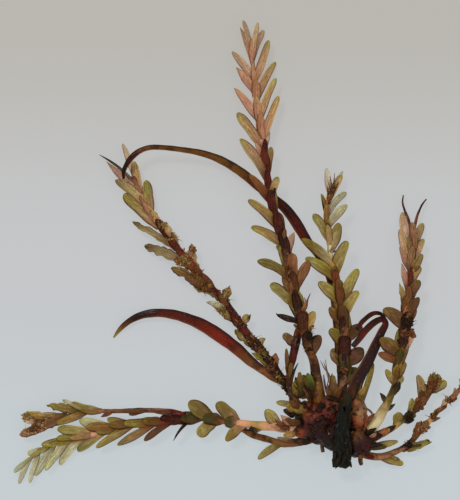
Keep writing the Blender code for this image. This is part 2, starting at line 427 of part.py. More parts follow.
def as_mesh(curve_object, into, grown=0.0):
    """The curve object as a welded mesh object, each point moved outwards by `grown`."""
    mesh = evaluated_mesh(curve_object)
    shape = bmesh.new()
    shape.from_mesh(mesh)
    bmesh.ops.remove_doubles(shape, verts=shape.verts, dist=WELD_DISTANCE)
    bmesh.ops.recalc_face_normals(shape, faces=shape.faces)
    moves = [vert.normal * grown for vert in shape.verts]
    for vert, move in zip(shape.verts, moves):
        vert.co += move
    shape.to_mesh(mesh)
    shape.free()
    made = bpy.data.objects.new("welded", mesh)
    made.matrix_world = curve_object.matrix_world
    name, curve = curve_object.name, curve_object.data
    bpy.data.objects.remove(curve_object)
    bpy.data.curves.remove(curve)
    made.name = name
    into.objects.link(made)
    return made


def drawn_curve(name, route, into):
    """A POLY curve along the route whose width at each point is the route's own."""
    curve = bpy.data.curves.new(name, "CURVE")
    curve.dimensions = "3D"
    curve.use_fill_caps = True
    spline = curve.splines.new("POLY")
    spline.points.add(len(route) - 1)
    for point, (across, down, up, width) in zip(spline.points, route):
        point.co = (*place(across, down, up), 1)
        point.radius = width
    made = bpy.data.objects.new(name, curve)
    into.objects.link(made)
    return made


def stem(name, route, into, grown=0.0):
    """A round stem."""
    made = drawn_curve(name, route, into)
    made.data.bevel_depth = 0.5
    made.data.bevel_resolution = STEM_BEVEL_RESOLUTION
    return as_mesh(made, into, grown)


def ribbon(name, route, into):
    """A ribbon that lies flat, thinner where it is narrower."""
    made = drawn_curve(name, route, into)
    broadest = max(width for *_, width in route)
    edge = RIBBON_THICKNESS / 2 / broadest
    made.data.bevel_depth = edge
    made.data.bevel_resolution = RIBBON_BEVEL_RESOLUTION
    made.data.extrude = 0.5 - edge
    made.data.twist_mode = "Z_UP"
    for point in made.data.splines[0].points:
        point.tilt = math.radians(90)
    return as_mesh(made, into)


def nearest(route_points, across, down):
    """The point of the smoothed route that is nearest to this place, seen from above."""
    return min(route_points, key=lambda p: (p[0] - across) ** 2 + (p[1] - down) ** 2)


def add_leaf(shape, midrib, width, tone):
    """A leaf as broad as it looks, or a broader one turned about its midrib where it looks narrow."""
    true_width = max(width, BROADEST_EDGE_ON)
    turn = math.acos(width / true_width)
    add_blade(shape, midrib, true_width, BLADE_THICKNESS, tone, turn, BLADE_SIDES, BLADE_RINGS)


def add_blade(shape, midrib, width, thickness, tone, turn, sides, rings):
    """A UV sphere drawn out along a midrib, flat, and broadest past its middle."""
    made = bmesh.ops.create_uvsphere(shape, u_segments=sides, v_segments=rings, radius=1)["verts"]
    last = len(midrib) - 1
    for vert in made:
        along = (vert.co.z + 1) / 2
        span = min(int(along * last), last - 1)
        a, b = midrib[span], midrib[span + 1]
        middle = a.lerp(b, along * last - span)
        middle.z = max(middle.z, math.hypot(vert.co.x, vert.co.y) * thickness / 2)
        forward = (b - a).normalized()
        side = Vector((0, 0, 1)).cross(forward).normalized()
        face = forward.cross(side)
        broad = side * math.cos(turn) + face * math.sin(turn)
        thin = face * math.cos(turn) - side * math.sin(turn)
        fullness = FOOT_FULLNESS + (TIP_FULLNESS - FOOT_FULLNESS) * along
        vert.co = middle + (broad * vert.co.x * fullness * width + thin * vert.co.y * thickness) / 2
        vert.co.z = max(vert.co.z, 0.0)
    index = list(TONES).index(tone)
    for face in {f for v in made for f in v.link_faces}:
        face.material_index = index


def arched(foot, tip, rise):
    """A leaf's midrib: three points, the middle one a little above the straight line."""
    middle = foot.lerp(tip, 0.5) + Vector((0, 0, 1)) * rise
    return [foot, middle, tip]


def leaf_shells(name, shoot, into):
    """All the leaves, scales and threads of a shoot, as closed shells in one object."""
    shape = bmesh.new()
    points = smoothed(shoot["route"], STEPS_BETWEEN_FEET)
    for across, down, tip_across, tip_down, width, rise, tone in shoot["leaves"]:
        x, y, up, _ = nearest(points, across, down)
        length = math.hypot(tip_across - x, tip_down - y)
        midrib = arched(place(x, y, up), place(tip_across, tip_down, up + rise), BLADE_ARCH * length)
        add_leaf(shape, midrib, width, tone)
    for across, down, tip_across, tip_down, width, tone in shoot["scales"]:
        x, y, up, stem_width = nearest(points, across, down)
        top = up + stem_width / 2
        foot = place(x, y, up + stem_width * SCALE_FOOT)
        tip = place(tip_across, tip_down, top + SCALE_LIFT)
        add_leaf(shape, arched(foot, tip, SCALE_LIFT), width, tone)
    for thread in shoot.get("threads", []):
        midrib = [place(*point) for point in thread]
        add_blade(shape, midrib, THREAD_WIDTH, THREAD_WIDTH, "d", 0.0, THREAD_SIDES, THREAD_RINGS)
    return shells_object(name + "_leaves", shape, into)


def shells_object(name, shape, into):
    mesh = bpy.data.meshes.new(name)
    shape.to_mesh(mesh)
    shape.free()
    for tone in TONES:
        mesh.materials.append(tone_material(tone))
    made = bpy.data.objects.new(name, mesh)
    into.objects.link(made)
    hide(made)
    return made


def hide(helper):
    helper.hide_render = True
    helper.display_type = "WIRE"


def boolean(target, helper, operation):
    cut = target.modifiers.new(f"{operation.lower()}_{helper.name}", "BOOLEAN")
    cut.operation = operation
    cut.solver = "EXACT"
    cut.use_self = True
    cut.material_mode = "TRANSFER"
    cut.object = helper


def shells_of(shape):
    """The shape's faces, as one list for each closed shell."""
    left, shells = set(shape.faces), []
    while left:
        shell, front = [], [left.pop()]
        while front:
            face = front.pop()
            shell.append(face)
            beside = {f for edge in face.edges for f in edge.link_faces} & left
            left -= beside
            front.extend(beside)
        shells.append(shell)
    return shells


def volume(shell):
    """The volume that the shell encloses, below zero for the wall of a cavity."""
    return sum(f.calc_center_median().dot(f.normal) * f.calc_area() for f in shell) / 3


def make_one_body(target):
    """Apply the target's modifiers, leave out cavities and loose chips, and bring it to metres."""
    mesh = evaluated_mesh(target)
    target.modifiers.clear()
    shape = bmesh.new()
    shape.from_mesh(mesh)
    shape.normal_update()
    shells = sorted(shells_of(shape), key=volume)
    bmesh.ops.delete(shape, geom=[face for shell in shells[:-1] for face in shell], context="FACES")
    shape.transform(Matrix.Scale(MM, 4))
    shape.to_mesh(mesh)
    shape.free()
    mesh.shade_smooth()
    mesh.set_sharp_from_angle(angle=SHARP_EDGE)
    target.data = mesh


def crown_shape(name, into, grown=0.0):
    """The swollen crown's lobes as closed shells in one object, grown outwards by `grown`."""
    shape = bmesh.new()
    ball = {"u_segments": CROWN_SIDES, "v_segments": CROWN_RINGS, "radius": 1}
    for across, down, up, half_width, half_length, half_height in CROWN_LOBES:
        size = Vector((half_width + grown, half_length + grown, half_height + grown))
        for vert in bmesh.ops.create_uvsphere(shape, **ball)["verts"]:
            vert.co = vert.co * size + place(across, down, up)
    return shells_object(name, shape, into)


def sheet_block(into):
    """A block under the sheet's surface, which cuts the crown flat where it rests."""
    shape = bmesh.new()
    bmesh.ops.create_cube(shape, size=BLOCK_SIDE)
    for vert in shape.verts:
        vert.co.z -= BLOCK_SIDE / 2
    return shells_object("under_the_sheet", shape, into)


def ridge_bark(target):
    """Move the old root's sides in and out around it, in ridges that wind along it."""
    middle = sum((v.co for v in target.data.vertices), Vector()) / len(target.data.vertices)
    for vert in target.data.vertices:
        turn = math.atan2(vert.co.x - middle.x, vert.co.z - middle.z)
        ridge = math.sin(STUMP_RIDGES * turn + STUMP_TWIST * vert.co.y)
        vert.co += vert.normal * STUMP_RIDGE_HEIGHT * ridge


def build_stump(into, helpers, finish):
    """The old root, and the cutter that leaves a gap around it in the crown."""
    stump = stem("old_root_stump", STUMP_ROUTE, into)
    ridge_bark(stump)
    stump.data.materials.append(finish)
    make_one_body(stump)
    cutter = stem("stump_cutter", STUMP_ROUTE, helpers, grown=PIECE_GAP + STUMP_RIDGE_HEIGHT)
    hide(cutter)
    return cutter


def build_crown(into, helpers, finish, stump_cutter):
    """The crown with its leaves and rootlets, cut flat by the sheet and clear of the old root."""
    crown = crown_shape("crown", into)
    crown.hide_render = False
    crown.display_type = "TEXTURED"
    crown.data.materials.clear()
    crown.data.materials.append(finish)
    growths = bmesh.new()
    for *places, width, tone in CROWN_LEAVES:
        foot, tip = place(*places[:3]), place(*places[3:])
        add_leaf(growths, arched(foot, tip, SCALE_LIFT), width, tone)
    boolean(crown, shells_object("crown_leaves", growths, helpers), "UNION")
    for number, route in enumerate(CROWN_ROOTLETS):
        rootlet = stem(f"rootlet_{number + 1}", route, helpers)
        hide(rootlet)
        boolean(crown, rootlet, "UNION")
    boolean(crown, sheet_block(helpers), "DIFFERENCE")
    boolean(crown, stump_cutter, "DIFFERENCE")
    make_one_body(crown)


def build_shoot(name, shoot, into, helpers, finish, around_crown):
    made = stem(name, shoot["route"], into)
    made.data.materials.append(finish)
    boolean(made, leaf_shells(name, shoot, helpers), "UNION")
    boolean(made, around_crown, "DIFFERENCE")
    make_one_body(made)


def build_ribbon(name, routes, into, helpers, finish, around_crown):
    made = ribbon(name, routes[0], into)
    made.data.materials.append(finish)
    for number, route in enumerate(routes[1:]):
        branch = ribbon(f"{name}_branch_{number + 1}", route, helpers)
        hide(branch)
        boolean(made, branch, "UNION")
    boolean(made, around_crown, "DIFFERENCE")
    make_one_body(made)


def build():
    for old in list(bpy.data.objects):
        bpy.data.objects.remove(old)
    plant = collection("tristicha_trifaria")
    helpers = collection("cutters_and_leaves")
    finishes = {name: new_material(name, *look) for name, look in FINISHES.items()}

    stump_cutter = build_stump(plant, helpers, finishes["old_root_black"])
    build_crown(plant, helpers, finishes["crown_maroon"], stump_cutter)
    around_crown = crown_shape("around_the_crown", helpers, grown=PIECE_GAP)
    for name, shoot in SHOOTS.items():
        build_shoot(name, shoot, plant, helpers, finishes["stem_red_brown"], around_crown)
    for name, routes in RIBBONS.items():
        finish = finishes[RIBBON_FINISHES[name]]
        build_ribbon(name, routes, plant, helpers, finish, around_crown)


build()
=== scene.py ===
"""The looks of a small river plant, uprooted and laid flat on a pale sheet, seen from straight above.

Places on the plant are millimetres on that sheet, as in the part's source: across from its left
edge, down from its top edge, and up from its surface. Meshes are in metres, in the part's frame.
"""

import math
import random

import bmesh
import bpy
import numpy as np
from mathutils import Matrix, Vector, noise
from mathutils.bvhtree import BVHTree


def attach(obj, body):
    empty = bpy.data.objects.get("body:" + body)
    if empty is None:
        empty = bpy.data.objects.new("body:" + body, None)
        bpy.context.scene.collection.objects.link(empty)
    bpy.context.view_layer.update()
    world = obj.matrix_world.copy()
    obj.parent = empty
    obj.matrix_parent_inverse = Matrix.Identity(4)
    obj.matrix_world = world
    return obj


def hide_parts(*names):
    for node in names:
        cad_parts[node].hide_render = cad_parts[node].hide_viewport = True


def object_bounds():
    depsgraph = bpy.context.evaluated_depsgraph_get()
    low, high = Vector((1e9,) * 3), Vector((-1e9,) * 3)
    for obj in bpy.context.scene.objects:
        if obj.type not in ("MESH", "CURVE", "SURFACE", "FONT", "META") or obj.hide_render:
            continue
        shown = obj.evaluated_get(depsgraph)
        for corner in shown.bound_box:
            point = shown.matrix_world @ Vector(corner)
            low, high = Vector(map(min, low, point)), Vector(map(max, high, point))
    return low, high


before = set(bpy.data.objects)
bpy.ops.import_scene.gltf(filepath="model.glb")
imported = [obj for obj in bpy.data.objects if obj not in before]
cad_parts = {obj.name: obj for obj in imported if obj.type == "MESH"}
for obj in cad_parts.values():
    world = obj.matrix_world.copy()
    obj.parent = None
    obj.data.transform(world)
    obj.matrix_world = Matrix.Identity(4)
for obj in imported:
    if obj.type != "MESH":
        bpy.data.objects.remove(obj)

CAD_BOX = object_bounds()
MM = 0.001

# The point of the sheet under the part's origin, and the piece of the sheet that is seen
ORIGIN_ACROSS, ORIGIN_DOWN = 24.6, 25.25
SEEN_ACROSS, SEEN_DOWN = 46.0, 50.0


def rows(text):
    """A table's rows, with commas between them, as tuples of numbers and tone letters."""
    return [
        tuple(word if word.isalpha() else float(word) for word in row.split())
        for row in text.split(",")
    ]


# Each shoot has the tones that its stem passes through from the crown to its tip, and a route of
# (across, down, up, width). Its leaves are (foot across, foot down, tip across, tip down, width,
# rise, tone) and stand out to its sides. Scales are the same without the rise and lie against the
# side that faces up, and clasps are broad blades under the scales that show at both sides of the
# stem. A tone in capitals is a torn leaf. Threads are routes of (across, down, up), spines have
# widths too, and breadth is how much broader than the solids' the leaves are.
SHOOTS = {
    "tall_shoot": {
        "stem": "nnahkbbkbbkmmmmppppp",
        "breadth": 1.1,
        "route": rows("""
            31.8 41 1.5 1.8, 31.8 40.2 1.9 1.7, 31.7 39.4 2.3 1.5, 31.6 38 2.4 1.2, 31.4 36.2 2.5 0.9,
            30.8 34.6 2.6 0.9, 30.3 32.6 2.6 0.95, 29.5 29.8 2.7 0.85, 28.9 27 2.8 0.9,
            28.4 24.6 2.8 0.95, 27.6 22 2.6 0.95, 27 19.6 2.4 0.8, 26.6 17 2.1 0.7, 26.2 14.4 1.7 0.75,
            25.9 11.8 1.4 0.75, 25.5 9.2 1.1 0.65, 25.3 6.6 0.9 0.45, 24.9 4 0.8 0.3
        """),
        "leaves": rows("""
            25.1 5.8 24 2.6 0.55 -0.9 p, 25 4.6 24.3 2 0.5 0.2 q, 25.2 7 23.2 5.1 0.7 -0.1 q,
            25.4 8.8 23.6 6.7 0.8 0.2 p, 25.7 11.3 23.4 8.7 0.8 -1.3 p, 26 13.9 23.7 11.3 0.95 0.1 s,
            26.5 16.8 24 13.9 0.9 -0.2 s, 26.5 16.6 25.5 14.3 0.6 0.4 p, 26.9 19.4 24.9 17.5 0.8 0.1 t,
            27.5 22.1 24.8 20 0.9 0.1 o, 28.1 24.3 25.1 22.7 0.85 -0.3 o, 28.6 25.7 27.6 24.6 0.5 -0.5 g,
            29 26.9 25.7 26.1 0.9 0.1 i, 29.5 29.8 27 28.4 1.15 -0.3 g, 29.9 31.6 28.9 29.9 0.6 -0.4 o,
            30.1 32.1 27.6 31.4 0.4 0.2 d, 25.3 5.2 25.8 2.2 0.55 0.2 q, 25.3 5.6 26.4 2.9 0.6 -0.9 q,
            25.4 7.1 26.9 4 0.75 0.2 s, 25.7 9.3 27.6 6.1 0.7 -1.2 s, 25.9 11.2 27.6 7.8 0.7 0.3 s,
            26.2 13 27.9 9.6 0.7 -0.1 s, 26.3 14.9 26.9 13.1 0.5 -0.4 q, 26.7 17.3 27.1 14.7 0.65 -0.3 o,
            27.1 19.8 27.8 17.7 0.75 0.2 s, 28.7 25.4 29.4 23.2 0.8 0.3 p, 29.3 28.2 30.9 26.1 0.95 0.3 t,
            29 27.5 29.2 25.3 1.15 0.55 t, 29.4 29.6 29.9 27.9 0.5 -0.4 o, 30.4 32.9 31.4 31.1 0.85 0.3 o,
            30.9 35 32 33.5 0.95 -0.1 b, 29.9 33.6 29.3 32.4 0.4 0.1 h
        """),
        "scales": rows("""
            25.2 5.8 25.2 3.8 0.5 p, 25.4 8.4 25.2 6.3 0.6 p, 25.5 9.9 25.5 7.9 0.85 t,
            25.9 12 25.6 9.6 0.95 p, 26.1 13.6 26 11.4 0.9 t, 26.6 17 26.2 14.6 0.9 r,
            26.4 15.6 26.5 13.9 0.5 m, 26.8 18.2 26.9 16.4 0.5 r, 27.2 20.4 27.5 18.8 0.5 k,
            27.8 22.6 27.4 20.9 0.5 r, 28.3 24.6 28.5 22.9 0.5 t, 29.1 28.1 28.8 26.4 0.6 k,
            26.9 19.2 26.6 17 0.65 m, 27.4 21.2 27 19 0.85 m, 27.9 23.3 27.5 21 0.95 m,
            28.5 25.3 28 23.1 1 k, 29.3 29.1 29.1 27.1 1 m, 29.8 31.1 29.4 29 0.95 k,
            30.4 32.9 30.2 31.1 1.3 m, 30.8 34.5 30.6 33 1.1 d
        """),
        "clasps": rows("""
            27.3 20.9 26.9 18.6 1.1 j, 28.1 23.6 27.6 21.2 1.2 h, 28.8 26.6 28.4 24.2 1.35 j,
            29.2 28.9 28.8 26.8 1.5 h, 29.8 31.2 29.3 28.9 1.55 j, 30.2 32.6 29.9 30.9 1.4 j
        """),
        "spines": [
            ("k", rows("30 32.2 2.6 0.3, 28.8 32 2.9 0.32, 27.9 31.6 2.9 0.22, 27.6 31.3 2.8 0.1")),
            ("b", rows("29.9 31.4 2.8 0.3, 30.5 30.8 3 0.3, 30.7 30 3.1 0.18, 31 29.3 3 0.05")),
            ("t", rows("30.1 31 2.9 0.2, 30.5 30.3 3.2 0.2, 30.4 29.7 3.2 0.06")),
        ],
    },
    "short_shoot": {
        "stem": "bkmkr",
        "route": rows("""
            30.4 41.3 2.3 0.7, 29.3 39.6 2.9 0.68, 28.9 37.6 2.6 0.65, 29.2 36 2.2 0.7,
            29.5 34.6 1.8 0.85, 29.8 33.3 1.5 0.8, 30 32.4 1.4 0.4
        """),
        "leaves": rows("""
            29.2 37.2 28.6 34.8 0.45 0.1 h, 29.6 34.3 28.3 33.4 0.95 0 h, 29 38.2 29.8 36.2 0.35 0.3 d,
            29 38 28.5 36.6 0.3 0.2 b
        """),
        "scales": rows("29.3 36.3 29.3 34.6 0.75 m, 29 38 29.1 36.2 0.6 o"),
    },
    "middle_shoot": {
        "stem": "tzdkkbkbrbowsboosq",
        "breadth": 1.22,
        "route": rows("""
            34 40 2.2 0.8, 34.3 38.2 2.3 0.7, 34.5 36.9 2.4 0.65, 34.3 35.4 2.5 0.95, 34.4 33.6 2.5 1,
            34.2 31.6 2.6 1, 34 29.8 2.5 0.8, 33.6 28 2.5 0.8, 33.2 26.4 2.5 0.7, 33 25.2 2.4 0.45,
            32.9 23.8 2.2 0.7, 32.7 22.4 2 0.65, 32.6 21 1.7 0.45, 32.8 19.8 1.4 0.45, 33.1 18.4 1.1 0.25
        """),
        "leaves": rows("""
            32.7 20.8 32.1 19.4 0.3 0.1 j, 33 18.6 32.7 16.8 0.5 -0.4 w, 32.8 23.6 31.3 21.4 0.8 0.2 g,
            33 25.4 30.1 23.9 0.8 0.1 i, 33.4 27.3 30.5 25.8 0.9 -0.1 g, 33.9 29.8 31.8 28.2 0.9 -0.2 g,
            34.2 32.1 32.9 30.7 0.8 -0.3 h, 34.4 34.3 32.9 32.9 1 -0.2 i, 34.4 36.2 33.1 34.9 1 -0.3 h,
            34.5 37.6 33.7 37.2 0.55 0.3 d, 33.1 19.6 34.2 17.5 0.55 0.1 s,
            33.4 18.4 34.3 17.1 0.28 0.1 w, 32.9 20.9 34.7 19.2 0.6 -1.5 l, 32.8 22.1 34.7 20.5 0.7 0.2 l,
            33 24.5 33.9 22.3 0.95 -0.3 g, 33.4 26.8 34.7 24.1 0.95 0.2 g, 34 29.2 35.8 26.9 0.9 -0.1 g,
            34.2 31.2 35.8 29.1 0.9 0.2 g, 34.5 33.8 36.2 32.6 1 -0.5 b, 34.4 35.7 36.4 35 1.2 -0.7 b,
            34.4 38 35.9 36.9 1.05 -0.5 e, 33 20.2 33.5 18.3 0.3 0.1 s, 32.9 20.4 32.9 19.2 0.3 0.1 t,
            33.1 20.2 33.9 18.2 0.25 0 b
        """),
        "scales": rows("""
            32.8 24.2 32.7 22.5 0.7 o, 33.5 28 33.4 26.6 0.8 h, 34 30.2 33.7 27.8 1 b,
            34.3 32.8 34 30.4 1.2 b, 34.4 35.4 34.4 33.5 1.35 m, 34.4 36.9 34.2 35.2 1.2 e,
            32.8 22.2 32.7 20.4 0.6 t, 32.8 23.2 32.7 22.3 0.75 r, 33.6 28.2 33.4 26.9 0.7 r,
            34 29.9 33.8 28.6 0.9 r, 34.3 33 34.2 31.6 0.8 k
        """),
        "clasps": rows("""
            34.1 30.6 33.7 27.9 1.5 j, 34.4 33.4 34 30.4 1.7 j, 34.5 35.8 34.3 33.2 1.75 h,
            34.4 37.8 34.4 35.8 1.5 e
        """),
        "spines": [
            ("k", rows("32.7 22.2 2 0.2, 32.3 20.6 1.9 0.16, 32.1 19.6 1.8 0.06")),
            ("b", rows("32.95 20.4 1.9 0.24, 32.8 19.5 1.8 0.2, 32.75 18.6 1.7 0.05")),
            ("b", rows("33.1 20 1.9 0.22, 33 19 1.9 0.16, 32.8 18.2 1.8 0.05")),
            ("b", rows("33.2 19.6 1.9 0.2, 33.15 18.6 1.9 0.16, 33 17.6 1.8 0.05")),
            ("b", rows("33.2 19.6 1.9 0.2, 33.35 18.5 1.9 0.16, 33.45 17.3 1.8 0.05")),
        ],
    },
    "right_shoot": {
        "stem": "ywyiebbbkttmmrrq",
        "breadth": 1.35,
        "route": rows("""
            36.2 43.9 2 1.2, 37.5 42.2 2.3 1.15, 38.3 40.9 2.4 0.95, 38.9 39.8 2.5 0.75,
            39.4 38.4 2.5 0.55, 39.6 37 2.6 0.6, 40 35.2 2.6 0.75, 40.3 33.8 2.7 0.95, 40.5 32.2 2.7 1.15,
            40.7 30.6 2.5 0.9, 40.8 29 2.2 0.7, 41 27.4 1.9 0.6, 41.2 25.8 1.5 0.55, 41.3 24.2 1.2 0.4,
            41.2 22.8 1 0.3
        """),
        "leaves": rows("""
            41.2 24.9 40.3 21.2 0.75 -1.1 q, 41.1 26.2 40 22.9 0.7 -0.4 q, 41.1 26.6 39.9 24.7 0.5 0.2 p,
            40.8 28.6 40.1 26.3 0.5 0.2 p, 40.6 30.6 39.9 28.4 0.4 0.3 S, 40.6 30.8 40.1 28.9 0.5 0.1 T,
            40.5 32.1 38.2 30.9 1 0.4 h, 40 35.2 37.9 33.8 1.05 0.4 h, 39.9 35.5 37.7 35.3 0.65 0.45 t,
            39.5 38 38.5 36.9 0.5 0.1 g, 38.8 40.2 37.9 39.2 0.4 0.3 d, 41.3 25.1 42.4 22.3 0.6 -1.2 s,
            41.2 26.4 42.4 23.9 0.65 -0.4 s, 41.1 26.9 42.2 25.4 0.6 0.2 o, 40.9 28.2 42 26.6 0.7 -0.2 o,
            40.8 29.8 41.9 28 0.7 0.2 h, 40.6 31.6 41.8 29.7 0.7 0.2 b, 40.5 32.8 41.5 30.7 0.6 -0.3 t,
            40.2 34.6 41.3 32.8 0.8 -0.2 p, 39.9 36 40.6 34.3 0.65 0.1 h, 39.6 37.2 40.4 36.1 0.85 0.2 i,
            39.4 38.5 40.2 37.5 0.65 -0.1 g, 39.2 39 40 38.2 0.6 0.1 d, 38.3 41 39.5 40.3 0.4 0.1 d
        """),
        "scales": rows("""
            41.3 25.2 41.2 22.2 0.9 q, 41.1 27 41.3 24.6 0.8 q, 41.2 26.2 40.8 23.6 0.6 s,
            40.9 28.8 41 26.6 0.6 r, 40.8 30.6 40.8 28.6 0.7 b, 40.4 33.4 40.6 31 1.2 d,
            40.1 35 40.3 33.5 0.9 K, 39.9 36.4 40 34.9 1 e, 39.6 37.9 39.7 36.6 0.6 h,
            39.3 39.2 39.9 38.1 0.75 d
        """),
        "clasps": rows("40.6 31.8 40.7 29.4 1.2 h, 40.2 35.2 40.4 32.6 1.5 j, 39.8 37 40 35 1.2 j"),
        "threads": [
            rows("41.2 23.4 1, 40.9 22 0.9, 40.5 21 0.8, 40.3 20.2 0.7, 40.4 19.5 0.5"),
            rows("41.3 23.6 1, 41.7 21.8 1, 42 21 0.9, 42.3 20.4 0.8, 42.7 19.9 0.6"),
        ],
    },
    "short_right_shoot": {
        "stem": "mtoekthbh",
        "breadth": 1.15,
        "route": rows("""
            36.4 44.4 1.4 0.85, 38.3 43.3 1.5 0.8, 39.3 42.8 1.5 0.6, 40 42.2 1.5 0.6, 40.8 41.6 1.4 0.75,
            41.5 40.9 1.4 0.7, 42.2 40.2 1.3 0.85, 42.8 39.5 1.2 0.6, 43.3 38.8 1 0.6, 43.7 38.2 0.9 0.35
        """),
        "leaves": rows("""
            39.9 42.4 39.9 41.2 0.9 0.2 j, 39.6 42.5 39.5 41.4 0.5 0.1 g, 38.6 43.2 39.6 42.5 0.5 0.35 d,
            40.6 41.7 41.6 41.5 0.5 0.2 e, 41.1 41.3 41.5 40.2 0.3 0.3 j, 41.9 40.5 42.4 40.9 0.4 0.2 b,
            41.9 40.6 41.7 39.7 0.5 0.4 t, 42.4 40.1 42.1 39 0.5 0.3 b, 42.9 39.3 43.1 37.5 0.6 0.5 H,
            43.3 39 43.7 37.5 0.5 0.4 B, 43.5 39.3 44.2 37.9 0.6 0.3 H, 40.5 41.9 41.4 42.1 0.6 -0.2 d,
            41.2 41.2 41.2 39.8 0.5 0.2 g, 41.6 40.8 41.6 40 0.3 0.1 o, 42.5 39.9 41.8 37.5 0.8 -0.3 o,
            43.1 39.1 43.3 37.3 0.5 0.2 H, 43.2 39.1 43.5 37.3 0.45 0.4 I, 43.5 38.9 44 37.5 0.75 -0.9 g,
            43.4 38.9 44.7 38.2 0.85 0.1 g
        """),
        "scales": rows("""
            40.6 41.8 41.2 41.3 0.8 d, 42 40.5 42.5 39.7 0.9 b, 41.4 41 42 40.2 0.8 B,
            42.6 39.8 43.1 38.8 0.7 H, 43 39.3 43.5 38.2 0.7 b
        """),
    },
    "long_right_shoot": {
        "slot": "brown_shoot",
        "stem": "ttzzkbstqtts",
        "route": rows("""
            35.6 45.2 1.1 0.7, 36.8 45.6 1.1 0.75, 38.2 45.7 1 0.75, 39.6 45.2 0.9 0.6, 40.7 44.6 0.9 0.6,
            41.5 43.8 1 0.55, 42.2 42.9 1 0.7, 43.1 42 1 0.5, 43.7 41.3 0.9 0.5, 44.6 40.4 0.9 0.4,
            45.5 39.5 0.8 0.5, 46.4 38.6 0.8 0.4, 47.3 37.7 0.7 0.25
        """),
        "leaves": rows("""
            38.7 45.6 40.4 46.5 0.8 -0.6 g, 38.6 45.7 39.8 46.2 0.4 -0.2 j, 40.7 44.6 42.9 44.2 0.9 0.1 J,
            40.4 44.8 41.4 44.5 0.6 0.3 d, 40.6 44.7 42.2 44.5 0.35 0.4 e, 40 45 40.6 44.3 0.4 0.3 d,
            38.9 45.5 40 46 0.4 0.1 y, 42 43.4 41.8 42.2 0.6 0.4 t, 42.2 43.2 42.9 42.3 0.6 0.4 o,
            41.9 43.4 41.5 42.7 0.5 0.2 b, 42.4 42.9 43.1 42.7 0.4 0.2 t, 43.4 41.8 43.6 40.9 0.4 0.3 s,
            44 41.1 44.7 40.5 0.45 0.3 b, 44.4 40.7 44.4 39.9 0.4 0.2 w, 45 40.1 45.6 40 0.4 0.1 t,
            45.6 39.5 45.5 38.8 0.4 0.2 q, 46 39.1 46.9 38.3 0.45 0.3 s, 41.8 43.6 42 42.3 0.7 0.3 T,
            43.1 42.1 44.1 41.8 0.4 -0.2 b, 46.3 38.7 46 37.9 0.4 0.2 b, 46.6 38.4 47.5 38.3 0.45 -0.8 o,
            47 38 47.9 36.9 0.5 0 b, 44.8 40.2 44.6 39.6 0.35 0.1 q, 45.2 39.9 45.8 39.9 0.35 -0.2 b,
            43.7 41.4 43.7 40.9 0.4 0.2 s
        """),
        "scales": rows("""
            42 43.2 42.7 42.3 0.9 B, 43.5 41.5 44.1 40.8 0.5 b, 45.1 39.9 45.8 39.2 0.55 b,
            46.2 38.8 46.9 38.1 0.5 b
        """),
    },
    "left_shoot": {
        "stem": "pqpopbbkmrmtpooggl",
        "breadth": 1.22,
        "route": rows("""
            30.4 42.6 1.8 1.2, 28.6 42.7 1.8 1.15, 27.2 42.6 1.7 1, 25.6 42.5 1.6 0.85, 24 42.3 1.5 0.7,
            22.2 42.1 1.5 0.65, 20.6 41.8 1.5 0.65, 18.8 41.9 1.5 0.8, 17 42.1 1.5 0.8, 15 42.3 1.5 0.75,
            13 42.5 1.4 0.7, 11 42.9 1.2 0.65, 9.3 43.4 1.1 0.6, 7.5 44 0.9 0.55, 5.6 44.3 0.8 0.5,
            4.4 44.8 0.7 0.4, 3.3 45.6 0.6 0.35, 2.4 46.4 0.5 0.2
        """),
        "leaves": rows("""
            20.6 41.8 18.9 40.1 1.2 0.3 i, 22.9 42.1 21.7 40.2 1.15 0.2 i, 27.7 42.6 26.6 40.9 0.95 0.3 g,
            3.8 45.2 2.7 45.4 0.6 0.2 l, 6.4 44.2 4.1 44.5 0.65 0.3 g, 8.1 43.8 5.6 43.9 0.7 0.3 g,
            8.8 43.5 5.7 42.9 0.85 -0.2 g, 10.6 43 7.9 42 0.9 0 l, 12.8 42.6 10.7 41.9 0.8 -0.2 g,
            21.2 41.9 19.9 43.7 1.05 -0.3 g, 24 42.4 22.6 44.1 0.8 0.2 i, 25.9 42.5 24.8 43 0.75 0.3 d,
            18.6 42 17.4 44 0.2 0.1 d, 16.6 42.2 14.4 44.1 0.6 -0.2 b, 14.4 42.4 11.7 44.6 0.7 -1.4 o,
            12.4 42.6 9.6 44.8 0.7 -0.2 g, 10 43.2 7.7 45.2 0.85 -1.1 g, 7.7 44 5.9 46.6 0.7 -0.8 l,
            6 44.3 4.5 47.1 0.65 0.1 l, 4.6 44.7 3.4 47.7 0.75 -0.7 l, 3.4 45.6 2.9 48.4 0.5 0.1 w,
            2.7 46.2 1.8 48.5 0.45 -0.5 l, 2.6 46.3 1.3 47.3 0.4 0.1 l
        """),
        "scales": rows("""
            10.9 42.9 8.6 42.7 1 o, 12.9 42.5 10.9 42.5 0.9 o, 14.4 42.4 12.4 42.3 0.9 j,
            16.1 42.2 14.3 42.1 1 h, 17.9 42 16 41.8 1.1 m, 19.6 41.8 18.1 41.7 1.3 e,
            21.7 42 20.3 41.8 1.35 e, 23.7 42.2 22.5 42.2 1.3 e, 9 43.5 7 43.8 0.7 g, 7 44.1 5 44.4 0.6 g,
            4.8 44.6 3 45.8 0.5 l
        """),
        "clasps": rows("19.2 41.9 16.8 42 1.3 h, 15.6 42.2 13.4 42.4 1.1 j, 11.8 42.7 9.6 43.2 1 j"),
        "spines": [
            ("k", rows("18.7 42.2 1.5 0.12, 18 43.1 1.4 0.14, 17.3 44.1 1.3 0.05")),
        ],
    },
    "left_brown_shoot": {
        "slot": "brown_shoot",
        "stem": "mmzkbzzkbzzt",
        "breadth": 1.15,
